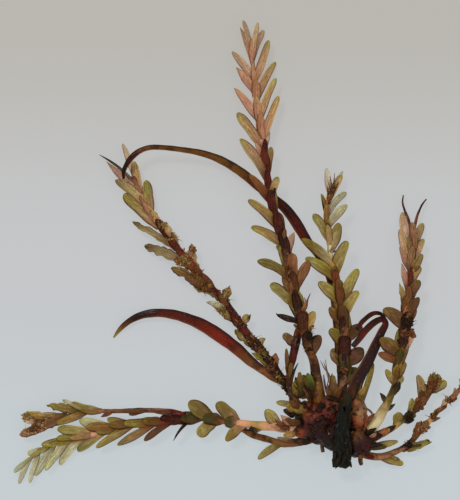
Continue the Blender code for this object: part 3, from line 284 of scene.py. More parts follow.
        "route": rows("""
            18.6 41.4 2.5 0.4, 17.2 41.1 2.4 0.5, 15.6 41 2.2 0.5, 13.8 41 2 0.5, 12 41.1 1.8 0.45,
            10.2 41.1 1.6 0.4, 8.8 41.2 1.4 0.4, 7.4 41.5 1.2 0.4, 6 41.8 1 0.45, 4.6 42.2 0.9 0.5,
            3.4 42.8 0.7 0.4, 2.6 43.3 0.6 0.25
        """),
        "leaves": rows("""
            9.4 41.2 7.1 40.3 0.85 0.1 g, 8.4 41.2 6.4 40.1 0.35 0.3 W, 7.6 41.4 4.8 40.5 0.8 -0.3 J,
            5.8 41.8 2.2 41.5 0.85 -0.3 O, 8.1 41.4 5.7 42.4 0.65 0.3 o, 5.6 42 2.1 43.5 0.9 0 Z,
            5.4 42.1 2.9 43.1 0.7 0.3 B, 4.6 41.9 2.7 41.2 0.4 0.2 O, 3.8 42.3 2.2 41.9 0.5 0.2 Q,
            6.8 41.6 5.2 42.6 0.5 0.1 J, 11.3 41.1 10.1 41.7 0.45 -0.1 r, 14.4 41 12.9 41.4 0.45 0.1 b
        """),
        "scales": rows("14.4 41 12.6 41 0.5 t, 16.8 41.1 15.3 41 0.5 b, 5.4 42 3.2 42.6 0.8 T"),
    },
    "left_runner": {
        "slot": "runner",
        "stem": "mbhbho",
        "route": rows("""
            31.6 43.8 0.9 0.9, 30 44.2 0.8 0.85, 28.4 44.4 0.7 0.75, 26.8 44 0.6 0.65, 25.4 43.6 0.6 0.65,
            24.3 43 0.6 0.6, 23.6 42.6 0.6 0.4
        """),
        "leaves": rows("27.4 44.2 25.8 46 0.75 -0.3 g, 29.4 44.3 27.7 43.8 0.5 0.3 s"),
    },
    "left_tall_shoot": {
        "slot": "brown_shoot",
        "stem": "kkmkkmkmmrrmmpppp",
        "route": rows("""
            29.9 40.8 1.5 0.8, 28.8 38.8 1.6 0.8, 28 37.6 1.7 0.85, 27 36.3 1.7 1, 25.8 34.9 1.6 0.85,
            24.7 33.4 1.6 0.85, 23.7 32 1.5 0.85, 22.5 30.3 1.5 0.85, 21.4 29 1.4 0.6, 20.2 27.8 1.4 0.75,
            19.2 26.6 1.4 1, 18.2 25.4 1.3 0.7, 17.2 24.2 1.2 0.75, 16.1 22.8 1.1 0.65, 15.1 21.4 1 0.55,
            14.4 20 0.9 0.5, 13.8 18.8 0.8 0.4, 13.1 17.6 0.7 0.3
        """),
        "leaves": rows("""
            13.3 17.8 9.8 15.4 0.3 -0.3 d, 13.6 18.4 10.6 16.1 0.7 -0.3 p, 14.3 19.9 11.5 18 0.9 0.1 y,
            15.2 21.6 12.3 19.4 1.5 -1 g, 17.1 24.1 13.3 22.2 0.7 0.1 Y, 18.6 26 14.6 24.6 1 -0.9 Y,
            20.6 28.3 17.3 26.8 1.1 0.2 H, 22 29.8 19.4 28.6 0.85 -0.4 I, 23.5 31.8 21.4 30.5 1.1 0.1 O,
            22.8 30.9 20.9 30.2 0.6 0.4 W, 25.5 34.6 23.6 33 1 -0.3 J, 27.1 36.5 25.3 35.3 0.8 0.2 J,
            13.6 18.4 12.2 14.3 0.65 -0.7 q, 13.9 18.9 13.4 16.1 0.85 0.1 s,
            14.7 20.6 14.6 18 1.05 -0.3 g, 15.8 22.4 15.3 21.2 0.8 0.2 S, 17.4 24.5 16.3 22.2 0.7 0.2 S,
            19.4 26.8 19.1 24.6 0.9 0.2 S, 22.2 29.9 22.9 28.7 0.8 0.2 S, 24 32.4 24.8 31.6 0.8 0.1 S,
            25.6 34.7 26.4 33.9 0.8 0.2 S, 27.2 36.6 27.6 35.4 0.9 0.2 T
        """),
        "scales": rows("""
            14 19.1 13.3 17.6 0.6 m, 15 21.3 14 19.5 0.6 t, 16.6 23.5 15.6 21.9 0.7 m,
            18 25.2 16.9 23.7 0.75 m, 19.6 27.1 18.6 25.6 1 B, 21 28.6 20 27.3 0.7 t,
            22.9 30.9 21.9 29.3 0.8 T, 24.3 32.8 23.2 31.2 0.95 m, 25.8 35 24.8 33.3 0.9 d,
            27.2 36.7 26.2 35.3 1 d, 28.2 38 27.3 36.7 0.8 K
        """),
    },
}

# Roots like flat ribbons: one route, or several that are grown together
RIBBONS = {
    "arched_ribbon": [
        rows("""
            34.1 40.4 0.9 0.7, 34.1 38 0.9 0.7, 33.9 35 0.9 0.7, 33.6 31.5 0.9 0.75, 33.3 29 0.9 0.75,
            32.7 26.9 1 0.8, 31.8 25.4 1 0.8, 30.8 24.2 1.1 0.95, 30 22.9 1.1 1.1, 29.3 21.8 1.1 1.05,
            28.4 20.7 1.1 0.95, 27.3 19.8 1.1 0.9, 26 18.8 1.2 0.85, 24.5 17.5 1.4 0.9, 23 16.5 1.7 0.85,
            21.6 15.8 2 0.75, 20 15.3 2.3 0.62, 18.2 15 2.5 0.56, 16.4 14.8 2.7 0.52, 15 14.8 2.8 0.52,
            13.9 15.2 2.8 0.55, 13.1 15.9 2.8 0.58, 12.7 16.5 2.7 0.5, 12.4 17.2 2.5 0.4,
            12.4 17.9 2.3 0.25
        """),
    ],
    "strap_ribbon": [
        rows("""
            30.4 41.2 0.9 0.5, 29.2 39.3 0.7 0.5, 28.5 38.5 0.6 0.5, 27.4 37.9 0.5 0.65, 26.2 37 0.5 0.85,
            25 36.1 0.5 1.05, 23.8 35 0.5 1.2, 22.5 34 0.6 1.3, 21.2 33.1 0.7 1.25, 20 32.4 0.8 1.2,
            18.8 31.9 0.9 1.05, 17.5 31.5 0.9 0.95, 16 31.3 0.9 0.88, 14.7 31.4 0.8 0.8,
            13.7 31.7 0.7 0.7, 12.8 32.2 0.6 0.6, 12 32.9 0.3 0.45, 11.3 33.8 0.04 0.15
        """),
    ],
    "hooked_ribbon": [
        rows("""
            34.9 40.6 2.4 0.9, 35.2 39 2.5 1.1, 35.9 37.5 2.5 1.15, 36.8 36 2.5 1.1, 37.6 34.3 2.4 0.95,
            38.1 33.2 2.3 0.8, 38.5 32.4 2.3 0.65, 38.2 31.9 2.3 0.6, 37.4 32.2 2.6 0.68,
            36.5 33 2.9 0.68, 35.8 33.9 3.1 0.62, 35.2 34.6 3.2 0.5
        """),
        rows("""
            38.5 32.3 2.3 0.35, 38.3 31.6 2.3 0.38, 37.8 31.3 2.3 0.42, 37.1 31.4 2.5 0.48,
            36.2 32.1 2.9 0.5, 35.6 32.9 3.1 0.4
        """),
    ],
    "pale_ribbon": [
        rows("""
            35.9 41 1.9 0.5, 35.9 39.6 1.9 0.5, 36 38.4 1.9 0.55, 36.5 37.2 1.9 0.6, 37.2 35.9 1.9 0.5,
            37.7 35 1.9 0.3
        """),
    ],
}
# The tones that each ribbon passes through, from the crown to its end
RIBBON_TONES = {
    "arched_ribbon": "mmmkmmmmkmmaaaaabmkdd",
    "strap_ribbon": "tbbtbccmmmkkbg",
    "hooked_ribbon": "bkkkmkmk",
    "pale_ribbon": "oogo",
}

# Brown algae that sit on the old leaves and stems: (across, down, reach, crumbs, tones)
ALGAE = {
    "left_tall_shoot": rows("""
        16.3 22.4 0.5 26 soj, 17.4 23.6 0.5 26 sot, 18.4 26.2 0.8 60 sotj, 19.6 27.4 0.7 60 tjbr,
        19.2 25 0.45 34 stu, 20.4 28.6 0.7 34 tbbj, 22.6 29.4 0.6 50 stj, 22.2 31.2 0.6 36 sij,
        23.9 32.4 0.6 44 tbk, 25.2 34 0.6 44 tbk, 26.3 35.2 0.6 50 tik, 27.2 36.6 0.6 54 tbkk,
        27.8 37.8 0.5 40 bjk, 28.6 38.6 0.5 24 jkk
    """),
    "tall_shoot": rows("""
        29 27 0.4 12 tb, 31 33.6 0.45 60 dkk, 31.3 32.8 0.3 12 stb, 30.8 34.8 0.5 16 bk
    """),
    "middle_shoot": rows("34.4 37 0.4 10 tb, 33.2 25 0.3 8 wp"),
    "right_shoot": rows("""
        40.7 32.3 0.65 110 kkd, 40.4 33.2 0.4 30 bt, 40.9 31.4 0.4 24 tb, 41.1 33.4 0.3 14 tu
    """),
    "short_right_shoot": rows("43 38.6 0.5 24 tbu, 40.9 41.8 0.35 30 ddk"),
    "long_right_shoot": rows("""
        42.2 42.9 0.45 50 stu, 43.4 41.6 0.4 20 tb, 45 40 0.4 20 tb, 46.4 38.6 0.4 16 ts,
        40.9 44.5 0.3 16 dk
    """),
    "left_brown_shoot": rows("4 42.6 0.7 60 tbs, 2.8 43.2 0.4 24 tso, 2.6 41.8 0.4 20 so"),
}
CRUMBS_EACH = 4

# The crown's lobes: (across, down, up, half width, half length, half height)
CROWN_LOBES = rows("""
    31.5 42.2 1.5 2 2.1 2.2, 33.2 43.4 1.6 1.6 1.6 1.9, 33 41 1.9 2.1 1.5 1.7, 35.6 41.5 1.9 1.1 1.9 1.7,
    35.8 43.9 1.6 1.6 1.8 1.8, 30.2 42.9 1.6 1.1 0.9 1.2, 30.6 41.1 2 1 1 1.2
""")
# Rootlets under the crown, each a route of (across, down, up, width)
CROWN_ROOTLETS = [
    rows("32.2 43.6 1.6 0.4, 32.2 44.6 1.5 0.4, 32.3 45.2 1.4 0.35"),
    rows("36 45 2.3 0.45, 36 46 2.2 0.45, 36.1 46.4 2 0.4"),
]
# Leaves on the crown, and small ones around it: (foot across, down, up, tip across, down, up, width, tone)
# The dark torn leaf along the crown's top edge, from 33.9 to 32.9 across, is painted shadow between the stems
CROWN_LEAVES = rows("""
    30.2 40.8 2.1 27.6 40.2 2.1 0.7 g, 30.3 41 3 28.9 40.5 3.6 1.1 J, 29.9 40.6 3.4 29 40.1 3.8 0.6 B,
    31.2 39 3.2 30.7 37.3 3.8 1 F, 30.4 39.8 3 29.9 37.2 3.5 0.9 H, 30.1 39.6 3.2 30.1 38.1 3.8 0.5 e,
    29.6 39.6 2.9 29.3 38.1 3.4 0.6 j, 30.8 39.8 3.3 30.2 38.7 3.7 0.4 T, 31 40.2 3.3 30.5 39.1 3.6 0.4 B,
    33.2 39.9 3.1 33.2 37.4 3.3 0.9 H, 33.9 39.9 3.3 32.9 39.6 3.6 0.45 D,
    36 42.6 2.8 37.4 41.2 3.3 0.55 r, 36.4 43.6 2.6 38.1 42.8 3.2 0.4 d,
    36.6 44.6 1.9 39.8 44.1 2.1 0.7 g, 36.4 44.6 2.2 38.6 44.6 2.6 0.7 e, 30 42.2 2.7 28.2 42 2.9 0.8 B,
    30.4 41.6 2.9 28.6 41.2 3.3 0.5 d, 35.7 41.2 2.2 37.35 36.3 2.3 0.6 j,
    30.7 39.7 2.6 30.3 37.4 2.9 1.1 e, 29.9 39.8 2.6 29.6 37.9 2.9 0.9 h, 31 39.4 2.7 31.1 37.6 2.9 0.8 b,
    29.5 39.7 2.6 28.9 38.7 2.8 0.6 e
""")
CROWN_TUFT = rows("""
    30.2 39.6 2.6 29.5 37.6 2.9 0.8 d, 30.6 39.4 2.8 30.4 37.6 3.7 0.5 H, 30.9 39.2 3 31.1 38.2 3.9 0.7 e,
    30.3 39.2 2.9 29.3 38.2 3.3 0.8 e, 31 39.8 3.1 30.4 38.4 3.6 0.7 d, 29.9 40.6 2.6 28.9 39.6 2.9 1 b,
    29.9 41 2.8 28.6 40.5 3 1 o, 29.4 41.6 2.4 28.3 40.9 2.8 0.7 k, 29.3 42.4 2.6 28 41.4 3.1 0.8 p,
    28.9 42.9 2.6 27.5 41.9 3 0.5 T, 28.9 42.6 2.7 27.6 42.4 2.9 0.4 U, 28.6 43 2.5 27 42.5 2.9 0.5 p,
    29.6 43.4 2.2 28.3 43.5 2.3 0.6 o, 32.9 39.8 3.2 32.7 38.5 3.4 0.6 B,
    33.6 39.8 3.2 33.9 38.6 3.6 0.7 b, 33.9 39.6 3.3 34.6 38.2 3.6 0.7 d, 35.9 39.5 3 36.5 38.6 3.2 0.6 o,
    36.4 43.5 2.6 37.6 42.7 3 0.6 d, 36.7 43.9 2.6 38.2 43.4 2.9 0.7 k, 36.5 44.4 2.5 38.3 44.4 2.7 0.6 d,
    36.9 43.6 2.8 37.6 43.1 3.1 0.4 p, 31 43.9 2.2 30.2 44.3 2.2 0.6 k, 36.5 45.3 2.1 37.4 45.7 2.2 0.5 m
""")
# Rolled sheaths and fine rootlets: a tone and a route
CROWN_STRANDS = [
    ("b", rows("""
        36.1 40.7 2.9 0.16, 36.8 40.9 3.3 0.2, 37.2 41.5 3.3 0.2, 36.7 42.1 3.2 0.2, 36.3 43 3 0.14
    """)),
    ("t", rows("35.9 41.1 3 0.3, 36.6 41.5 3.2 0.2, 36.4 42.5 3.1 0.1")),
    ("x", rows("32 36 3 0.05, 32.4 36.8 3.2 0.11, 32.9 37.5 3.2 0.1, 33 38.8 3.1 0.08")),
    ("x", rows("32.5 35.9 3 0.05, 32.6 36.8 3.3 0.1, 32.8 37.6 3.3 0.09, 32.6 38.8 3.1 0.08")),
    ("g", rows("32.3 36.1 3 0.05, 32.6 37.1 3.2 0.16, 32.9 38.3 3.2 0.16, 32.8 39 3 0.1")),
    ("x", rows("32.3 37.4 3 0.1, 32.4 38.2 3.1 0.22, 32.6 39.2 3 0.2")),
    ("b", rows("33.7 46.3 2.2 0.2, 33.5 46.5 1.9 0.14, 33.4 46.6 1.6 0.06")),
    ("d", rows("34.6 46 2.6 0.3, 34.8 46.4 2.3 0.2, 34.9 46.6 2.1 0.06")),
]
# The crown's coloured places: (across, down, reach, tone)
CROWN_TINTS = rows("""
    31.3 40.7 0.4 u, 31.4 41.2 0.45 u, 30.5 40.6 0.5 b, 30.3 41.3 0.5 b, 30.7 41.8 0.4 n,
    29.9 42.3 0.45 d, 32 41.2 0.6 n, 32.9 41.2 0.6 n, 33.4 41.5 0.6 n, 31.6 41.6 0.5 n, 32.6 42.3 0.7 v,
    31.9 42.5 0.5 v, 30.8 42.7 0.55 m, 30.2 43.2 0.35 u, 29.3 42.8 0.5 b, 31.4 43.6 0.8 v,
    32.6 43.4 0.9 k, 32.8 44.4 1 d, 31.4 44.4 0.8 k, 31.9 39.9 0.6 n, 33 39.6 0.7 b, 33 40.6 0.35 u,
    35.6 40.4 0.8 t, 36.2 41.2 0.6 s, 35.6 41.9 0.6 u, 34.8 41.2 0.6 b, 34.9 42.8 0.7 k, 35.4 43.4 0.7 b,
    36.8 44.9 0.7 m, 35.4 45.2 0.8 v, 36.6 43.6 0.6 k, 35.8 44.4 0.6 v
""")
# Black scars where old leaves have dropped off: (across, down, across and down size)
CROWN_SCARS = rows("""
    32.1 40.4 0.95 0.75, 33.4 40.5 0.7 0.55, 31.6 42 0.95 0.7, 30 42.2 0.8 0.85, 29.7 41.4 0.45 0.6,
    31.3 39.9 0.6 0.4, 33 39.7 0.9 0.4, 35.3 42.9 0.6 0.35, 36.7 43.2 0.6 0.35
""")
# The middle of the crown, how many remains of old leaves it carries, and the crumbs beside each
CROWN_MIDDLE = (32.8, 42.4)
REMAINS, CRUMBS_BESIDE = 36, 6

# The black stump of an old root, which lies over the crown, and how many splinters it is torn into
STUMP_ROUTE = rows("""
    34.7 39.3 3.7 0.8, 34.5 40.3 3.9 1.15, 34.2 41.8 4 1.25, 34.1 43.3 3.7 1.5, 34.2 44.6 3.1 1.8,
    34.2 45.6 2.7 1.95, 34 46.2 2.5 1.75, 33.9 46.6 2.4 1.3
""")
SPLINTERS = 60

# Colours of the tissue, and what a leaf's own tone is multiplied by at its tip
TONES = {
    "g": (164, 144, 60), "l": (204, 196, 132), "e": (74, 70, 28), "o": (174, 136, 68),
    "s": (198, 156, 106), "p": (208, 150, 118), "q": (212, 170, 132), "r": (130, 56, 30),
    "b": (104, 64, 28), "a": (104, 64, 18), "t": (148, 92, 54), "m": (84, 24, 12), "c": (116, 32, 14),
    "k": (42, 16, 10), "d": (28, 24, 11), "w": (214, 200, 156), "h": (112, 78, 34), "i": (130, 108, 46),
    "j": (146, 124, 54), "f": (86, 92, 32), "y": (166, 146, 98), "u": (146, 66, 32), "n": (112, 42, 36),
    "v": (42, 16, 19), "x": (110, 76, 104), "z": (140, 98, 66),
}
TIP_TINT = {
    "g": (1.1, 1.2, 0.9), "l": (1.1, 1.15, 0.9), "o": (0.95, 1.2, 0.8), "s": (0.85, 1.15, 0.7),
    "q": (1.05, 1.1, 1.0), "e": (1.2, 1.35, 1.0), "t": (1.1, 1.2, 0.9), "p": (1.0, 1.25, 1.0),
    "w": (1.1, 1.1, 1.1), "h": (1.3, 1.7, 1.2), "i": (1.15, 1.3, 0.9), "j": (1.1, 1.2, 0.9),
    "f": (1.2, 1.3, 1.0), "b": (1.2, 1.3, 1.0), "u": (1.0, 1.0, 0.9), "z": (1.3, 1.35, 1.3),
}
# Tones of pointed leaves, and of leaves that keep their own colour where they lie on a stem
POINTED_TONES, OWN_TONES = "pdr", "ehfjdk"
# How much of the light a leaf of each tone stops
DENSITY = {"w": 0.62, "l": 0.66, "p": 0.86, "q": 0.76, "g": 0.9, "o": 0.9, "s": 0.9}

# The sheet's half side, the room's light, the lamps' (place, size, power) and the camera's lens
SHEET_REACH = 1.2
ROOM_COLOUR, ROOM_STRENGTH = (0.93, 0.96, 1.0, 1), 0.62
LAMPS = {"key": ((-0.12, 0.16, 0.36), 0.07, 0.55), "fill": ((0.25, -0.1, 0.3), 0.3, 0.2)}
LENS, SENSOR = 200.0, 36.0

# Fineness of the fine surfaces
LEAF_RINGS, LEAF_SPANS = 14, 6
STEM_SIDES, STEM_STEPS, THREAD_SIDES = 16, 6, 10
RIBBON_SIDES, RIBBON_STEPS = 24, 6
STUMP_SIDES, STUMP_STEPS = 56, 8
CRUMB_RINGS, CRUMB_SIDES = 4, 6

# Sizes in millimetres
LEAF_THICKNESS = 0.11
BROADEST_EDGE_ON = 0.55
SCALE_LIFT = 0.12
THREAD_WIDTH = 0.3
RIBBON_THICKNESS = 0.36
STUMP_END = 46.65
CRUMB_SIZES = (0.03, 0.045, 0.06, 0.13)
CROWN_VOXEL, KNOB_HEIGHT, FOLD_HEIGHT, SCAR_DEPTH = 0.1, 0.16, 0.09, 0.26
FIBRE_LENGTH, FIBRE_WIDTH, FIBRE_TAPER, FIBRE_LOWEST = (0.12, 0.45), 0.075, 0.05, 0.03
REMAINS_SPREAD, REMAINS_LENGTH, REMAINS_WIDTH = (1.7, 1.3), (0.4, 0.85), (0.3, 0.6)
SPLINTER_WIDTH, SPLINTER_LEAN, SPLINTER_REACH = (0.14, 0.36), (-0.15, 0.15), (-0.9, -0.35)
TORN_LENGTH, TORN_DEPTH = 1.6, 0.55

# A leaf's shape, in shares of its length: its arch, the run of its foot down the stem, its sideways
# sway, and the height that chance gives its tip
BLADE_ARCH, FOOT_RUN, SWAY, TIP_RISE = 0.08, 0.3, 0.05, (-0.04, 0.07)
# And in shares of half its width: how far it is cupped, and how uneven, wavy or torn its edges are
CUP, UNEVEN, WAVE, TEAR = 0.22, 0.07, 0.05, 0.38
# The angles, in radians, by which it rolls about its midrib, all of it and more towards its tip
ROLL, TWIST = 0.18, 0.3
# Leaves that lie on a stem: the shares of its width by which their foot and their tip lie over its
# middle, how far their tip lifts off it in millimetres, and how closely they bend around it
HUGGING = {"scales": (0.2, 0.5, SCALE_LIFT, 0.55), "clasps": (0.0, 0.25, 0.0, 0.45)}
# A stem's ridges, and how high they and the knots of stems and threads are, in shares of its radius
STEM_RIDGES, RIDGE_HEIGHT, KNOTS, THREAD_KNOTS = 5, 0.05, 0.07, 0.1

rng = random.Random(7)


def place(across, down, up):
    """A place on the sheet, in millimetres from the part's origin."""
    return np.array((across - ORIGIN_ACROSS, ORIGIN_DOWN - down, up), float)


def smoothed(points, steps):
    """Points on a Catmull-Rom curve through these, with this many steps from each to the next."""
    given = np.array(points, float)
    given = np.vstack([2 * given[0] - given[1], given, 2 * given[-1] - given[-2]])
    t = (np.arange(steps) / steps)[:, None]
    found = []
    for a, b, c, d in zip(given, given[1:], given[2:], given[3:]):
        turn, twist = 2 * a - 5 * b + 4 * c - d, 3 * b - a - 3 * c + d
        found.append(0.5 * (2 * b + (c - a) * t + turn * t**2 + twist * t**3))
    return np.vstack([*found, given[-2:-1]])


def linear(colour):
    """A colour given as 0 to 255, as the shader's light values."""
    share = np.array(colour, float) / 255
    return np.where(share <= 0.04045, share / 12.92, ((share + 0.055) / 1.055) ** 2.4)


def tone_run(letters, count):
    """`count` colours that pass evenly through the tones of these letters."""
    stops = np.array([linear(TONES[letter]) for letter in letters])
    where = np.linspace(0, len(stops) - 1, count)
    return np.stack([np.interp(where, np.arange(len(stops)), stops[:, i]) for i in range(3)], axis=1)


def unit(vectors):
    return vectors / np.maximum(np.linalg.norm(vectors, axis=-1, keepdims=True), 1e-9)


def frames_along(line):
    """For each point of a line that runs more or less level: forwards, to its left, and up."""
    forward = unit(np.gradient(line, axis=0))
    side = unit(np.cross((0, 0, 1), forward))
    return forward, side, np.cross(forward, side)


def traced(route, steps):
    """A route made smooth: its points, the same as places, their frames, and the lengths along it."""
    spots = smoothed(route, steps)
    line = np.array([place(*spot[:3]) for spot in spots])
    run = np.concatenate([[0], np.cumsum(np.linalg.norm(np.diff(line, axis=0), axis=1))])
    return spots, line, frames_along(line), run


def turned(side, face, angle):
    """The ways to the side and up, turned about their line by an angle for each of its points."""
    cos, sin = np.cos(angle)[:, None], np.sin(angle)[:, None]
    return side * cos + face * sin, face * cos - side * sin


def around(line, side, face, wide, high):
    """Rings of points about a line, this far to its side and this far up from each of its points."""
    return line + side[:, None] * wide[..., None] + face[:, None] * high[..., None]


def circle(sides):
    return np.arange(sides) / sides * 2 * math.pi


def wander(run, rate, seed, layer):
    """A value that changes by chance, but smoothly, with the length along a line."""
    return np.array([noise.noise((x * rate, seed, layer)) for x in run])


def grains(*values):
    return np.stack(np.broadcast_arrays(*values), axis=-1).astype(float)


def linked(name, data):
    made = bpy.data.objects.new(name, data)
    bpy.context.scene.collection.objects.link(made)
    return made


def paint(mesh, tones):
    mesh.attributes.new("tone", "FLOAT_COLOR", "POINT").data.foreach_set("color", tones.ravel())


def skin_of(piece, size):
    """The surface of a piece, to look for places on, in units of this many metres."""
    points = [vert.co / size for vert in piece.data.vertices]
    return BVHTree.FromPolygons(points, [face.vertices for face in piece.data.polygons])


class Growth:
    """Lofted skins gathered into one mesh, where each point knows its tone and its place on its leaf."""

    def __init__(self):
        self.points, self.faces, self.tones, self.grains, self.finishes = [], [], [], [], []
        self.count = 0

    def loft(self, rings, tones, grain, finish=0, density=1.0):
        """A closed skin over rings of points (rings, sides, 3), with a fan over each end."""
        n, m, _ = rings.shape
        self.points.append(np.vstack([rings.reshape(-1, 3), rings[0].mean(axis=0), rings[-1].mean(axis=0)]))
        tones = np.column_stack([tones, np.broadcast_to(density, n)])
        self.tones.append(np.vstack([np.repeat(tones, m, axis=0), tones[:1], tones[-1:]]))
        self.grains.append(np.vstack([grain.reshape(-1, 3), grain[0].mean(axis=0), grain[-1].mean(axis=0)]))
        near, sides = np.meshgrid(np.arange(n - 1) * m, np.arange(m), indexing="ij")
        far, after = near + m, (sides + 1) % m
        quads = np.stack([near + sides, near + after, far + after, far + sides], axis=-1) + self.count
        made = [tuple(quad) for quad in quads.reshape(-1, 4).tolist()]
        foot, tip, last = self.count + n * m, self.count + n * m + 1, self.count + (n - 1) * m
        for side in range(m):
            beside = (side + 1) % m
            made += [(foot, self.count + beside, self.count + side), (tip, last + side, last + beside)]
        self.faces += made
        self.finishes += [finish] * len(made)
        self.count += n * m + 2

    def piece(self, name, materials):
        """The mesh's object, held inside the box of the solids."""
        low, high = np.array(CAD_BOX[0]) / MM, np.array(CAD_BOX[1]) / MM
        mesh = bpy.data.meshes.new(name)
        mesh.from_pydata((np.clip(np.vstack(self.points), low, high) * MM).tolist(), [], self.faces)
        paint(mesh, np.vstack(self.tones))
        grain = mesh.attributes.new("grain", "FLOAT_VECTOR", "POINT")
        grain.data.foreach_set("vector", np.vstack(self.grains).ravel())
        for material in materials:
            mesh.materials.append(material)
        mesh.polygons.foreach_set("material_index", self.finishes)
        mesh.shade_smooth()
        return linked(name, mesh)


def leaf_outline(along, pointed):
    """A leaf's width along its length, as a share: a broad clasping foot and a blunt or pointed tip."""
    foot = 0.55 + 0.45 * np.sin(math.pi / 2 * np.minimum(along / 0.5, 1))
    past = np.maximum(along - 0.5, 0) / 0.5
    tip = (1 - past**1.9) ** 0.8 if pointed else np.sqrt(1 - past**3.2)
    return foot * tip


def eased(values, low, high):
    share = np.clip((values - low) / (high - low), 0, 1)
    return share * share * (3 - 2 * share)


def add_leaf(growth, foot, tip, width, tone, arch, finish=1, hug=0.0, clasped=None):
    """A thin cupped leaf. Where it looks narrow it is a broader one, turned about its midrib.

    `clasped` is the stem that its foot runs down along: the way that it grows, and its colour.
    """
    torn, tone = tone.isupper(), tone.lower()
    count = LEAF_RINGS * 2 if torn else LEAF_RINGS
    true_width = max(width, BROADEST_EDGE_ON)
    turn = math.acos(width / true_width)
    length = np.linalg.norm(tip - foot)
    along = np.sin(math.pi / 2 * np.arange(count) / (count - 0.45))
    bow, rest = 4 * along * (1 - along), 1 - along
    growing, foot_shade = clasped if clasped else (np.zeros(3), None)
    start, bend = foot - growing * length * FOOT_RUN, foot + (tip - foot) * FOOT_RUN
    line = start * (rest**2)[:, None] + bend * (2 * along * rest)[:, None] + tip * (along**2)[:, None]
    _, side, face = frames_along(line)
    line = line + (0, 0, 1) * (bow * arch)[:, None]
    line = line + side * (bow * length * rng.uniform(-SWAY, SWAY))[:, None]
    line[:, 2] += rng.uniform(*TIP_RISE) * length * along**3
    half = leaf_outline(along, tone in POINTED_TONES) * true_width / 2
    half = half * (1 + UNEVEN * np.sin(along * rng.uniform(6, 11) + rng.uniform(0, 6)))
    roll = turn + rng.uniform(-ROLL, ROLL) + rng.uniform(-TWIST, TWIST) * along
    broad, thin = turned(side, face, roll)
    out = np.linspace(-1, 1, LEAF_SPANS + 1)
    over = np.concatenate([out, out[-2:0:-1]])
    sign = np.concatenate([np.ones(len(out)), -np.ones(len(out) - 2)])
    thickness = LEAF_THICKNESS * (1 + 1.2 * rest**3) * (half / half.max()) ** 0.5 / 2
    body = np.sqrt(np.maximum(1 - over**2, 0)) * sign
    cup = CUP * rng.uniform(0.4, 1.4) - hug
    wave = WAVE * np.sin(along[:, None] * rng.uniform(7, 12) + over[None, :] * 2 + rng.uniform(0, 6))
    lift = half[:, None] * (cup + wave) * over[None, :] ** 2 + body[None, :] * thickness[:, None]
    edge = half[:, None] * over[None, :]
    line = line[:, None]
    if torn:
        seed = rng.uniform(0, 50)
        edges = 3 * np.sign(over)
        tears = [[noise.fractal((x * length * 2.6, seed, y), 0.6, 2.2, 3) for y in edges] for x in along]
        edge = edge * (1 + TEAR * np.array(tears))
        ends = wander(over, 2.6, seed, 9)
        line = line + unit(tip - foot) * (along[:, None] ** 3 * ends[None, :] * 0.5)[..., None]
    rings = around(line, broad, thin, edge, lift)
    shade = linear(TONES[tone]) * rng.uniform(0.8, 1.2) * (rng.uniform(0.94, 1.06), 1, rng.uniform(0.8, 1.15))
    if hug and foot_shade is not None and tone not in OWN_TONES:
        shade = shade * 0.45 + foot_shade * rng.uniform(0.4, 0.75)
    first = shade * 0.6 if foot_shade is None else foot_shade * 0.75 + shade * 0.25
    last = shade * TIP_TINT.get(tone, (0.6, 0.5, 0.5))
    tones = first + (shade - first) * eased(along, 0.05, 0.75)[:, None]
    tones = tones + (last - shade) * eased(along, 0.7, 1.0)[:, None]
    lower = 1 if tip[0] < foot[0] else -1
    dark_side = lower if rng.random() < 0.75 else -lower
    grain = grains(along[:, None], over[None, :] * dark_side, rng.uniform(0, 50))
    growth.loft(rings, tones, grain, finish, DENSITY.get(tone, 1.0))


def add_stem(growth, route, letters, knobs=KNOTS, steps=STEM_STEPS, sides=STEM_SIDES):
    """A round stem with low ridges and knots."""
    spots, line, (_, side, face), run = traced(route, steps)
    turn = circle(sides)
    seed = rng.uniform(0, 50)
    swell = 1 + knobs * 2 * wander(run, 1.6, seed, 0)[:, None]
    swell = swell + RIDGE_HEIGHT * np.sin(STEM_RIDGES * turn[None, :] + run[:, None] * 0.8 + seed)
    radius = spots[:, 3:4] / 2 * swell
    rings = around(line[:, None], side, face, radius * np.cos(turn), radius * np.sin(turn))
    tones = tone_run(letters, len(line))
    blotches = np.interp(tones.mean(axis=1), (0.05, 0.3), (1.0, 0.2))
    growth.loft(rings, tones, grains(run[:, None], turn[None, :] / math.pi, seed), density=blotches)


def add_threads(growth, threads):
    for tone, route in threads:
        add_stem(growth, route, tone + tone, THREAD_KNOTS, sides=THREAD_SIDES)


def add_ribbon(growth, route, letters):
    """A flat ribbon with a raised middle and a thicker rim along each edge."""
    spots, line, (_, side, face), run = traced(route, RIBBON_STEPS)
    turn = circle(RIBBON_SIDES)
    broad = np.sign(np.cos(turn)) * np.abs(np.cos(turn)) ** 0.85
    thick = np.sign(np.sin(turn)) * np.abs(np.sin(turn)) ** 0.7 * (0.82 + 0.18 * np.cos(broad * 2 * math.pi))
    seed = rng.uniform(0, 50)
    half = spots[:, 3:4] / 2 * (1 + 0.08 * wander(run, 1.1, seed, 9)[:, None])
    depth = np.minimum(RIBBON_THICKNESS / 2, half * 0.8)
    across, up = turned(side, face, wander(run, 0.5, seed, 3) * 0.3)
    rings = around(line[:, None], across, up, half * broad, depth * thick)
    growth.loft(rings, tone_run(letters, len(line)), grains(run[:, None], broad[None, :], seed))


def nearest(spots, across, down):
    """Which of the smoothed route's points is nearest to this place, seen from above."""
    return np.argmin((spots[:, 0] - across) ** 2 + (spots[:, 1] - down) ** 2)


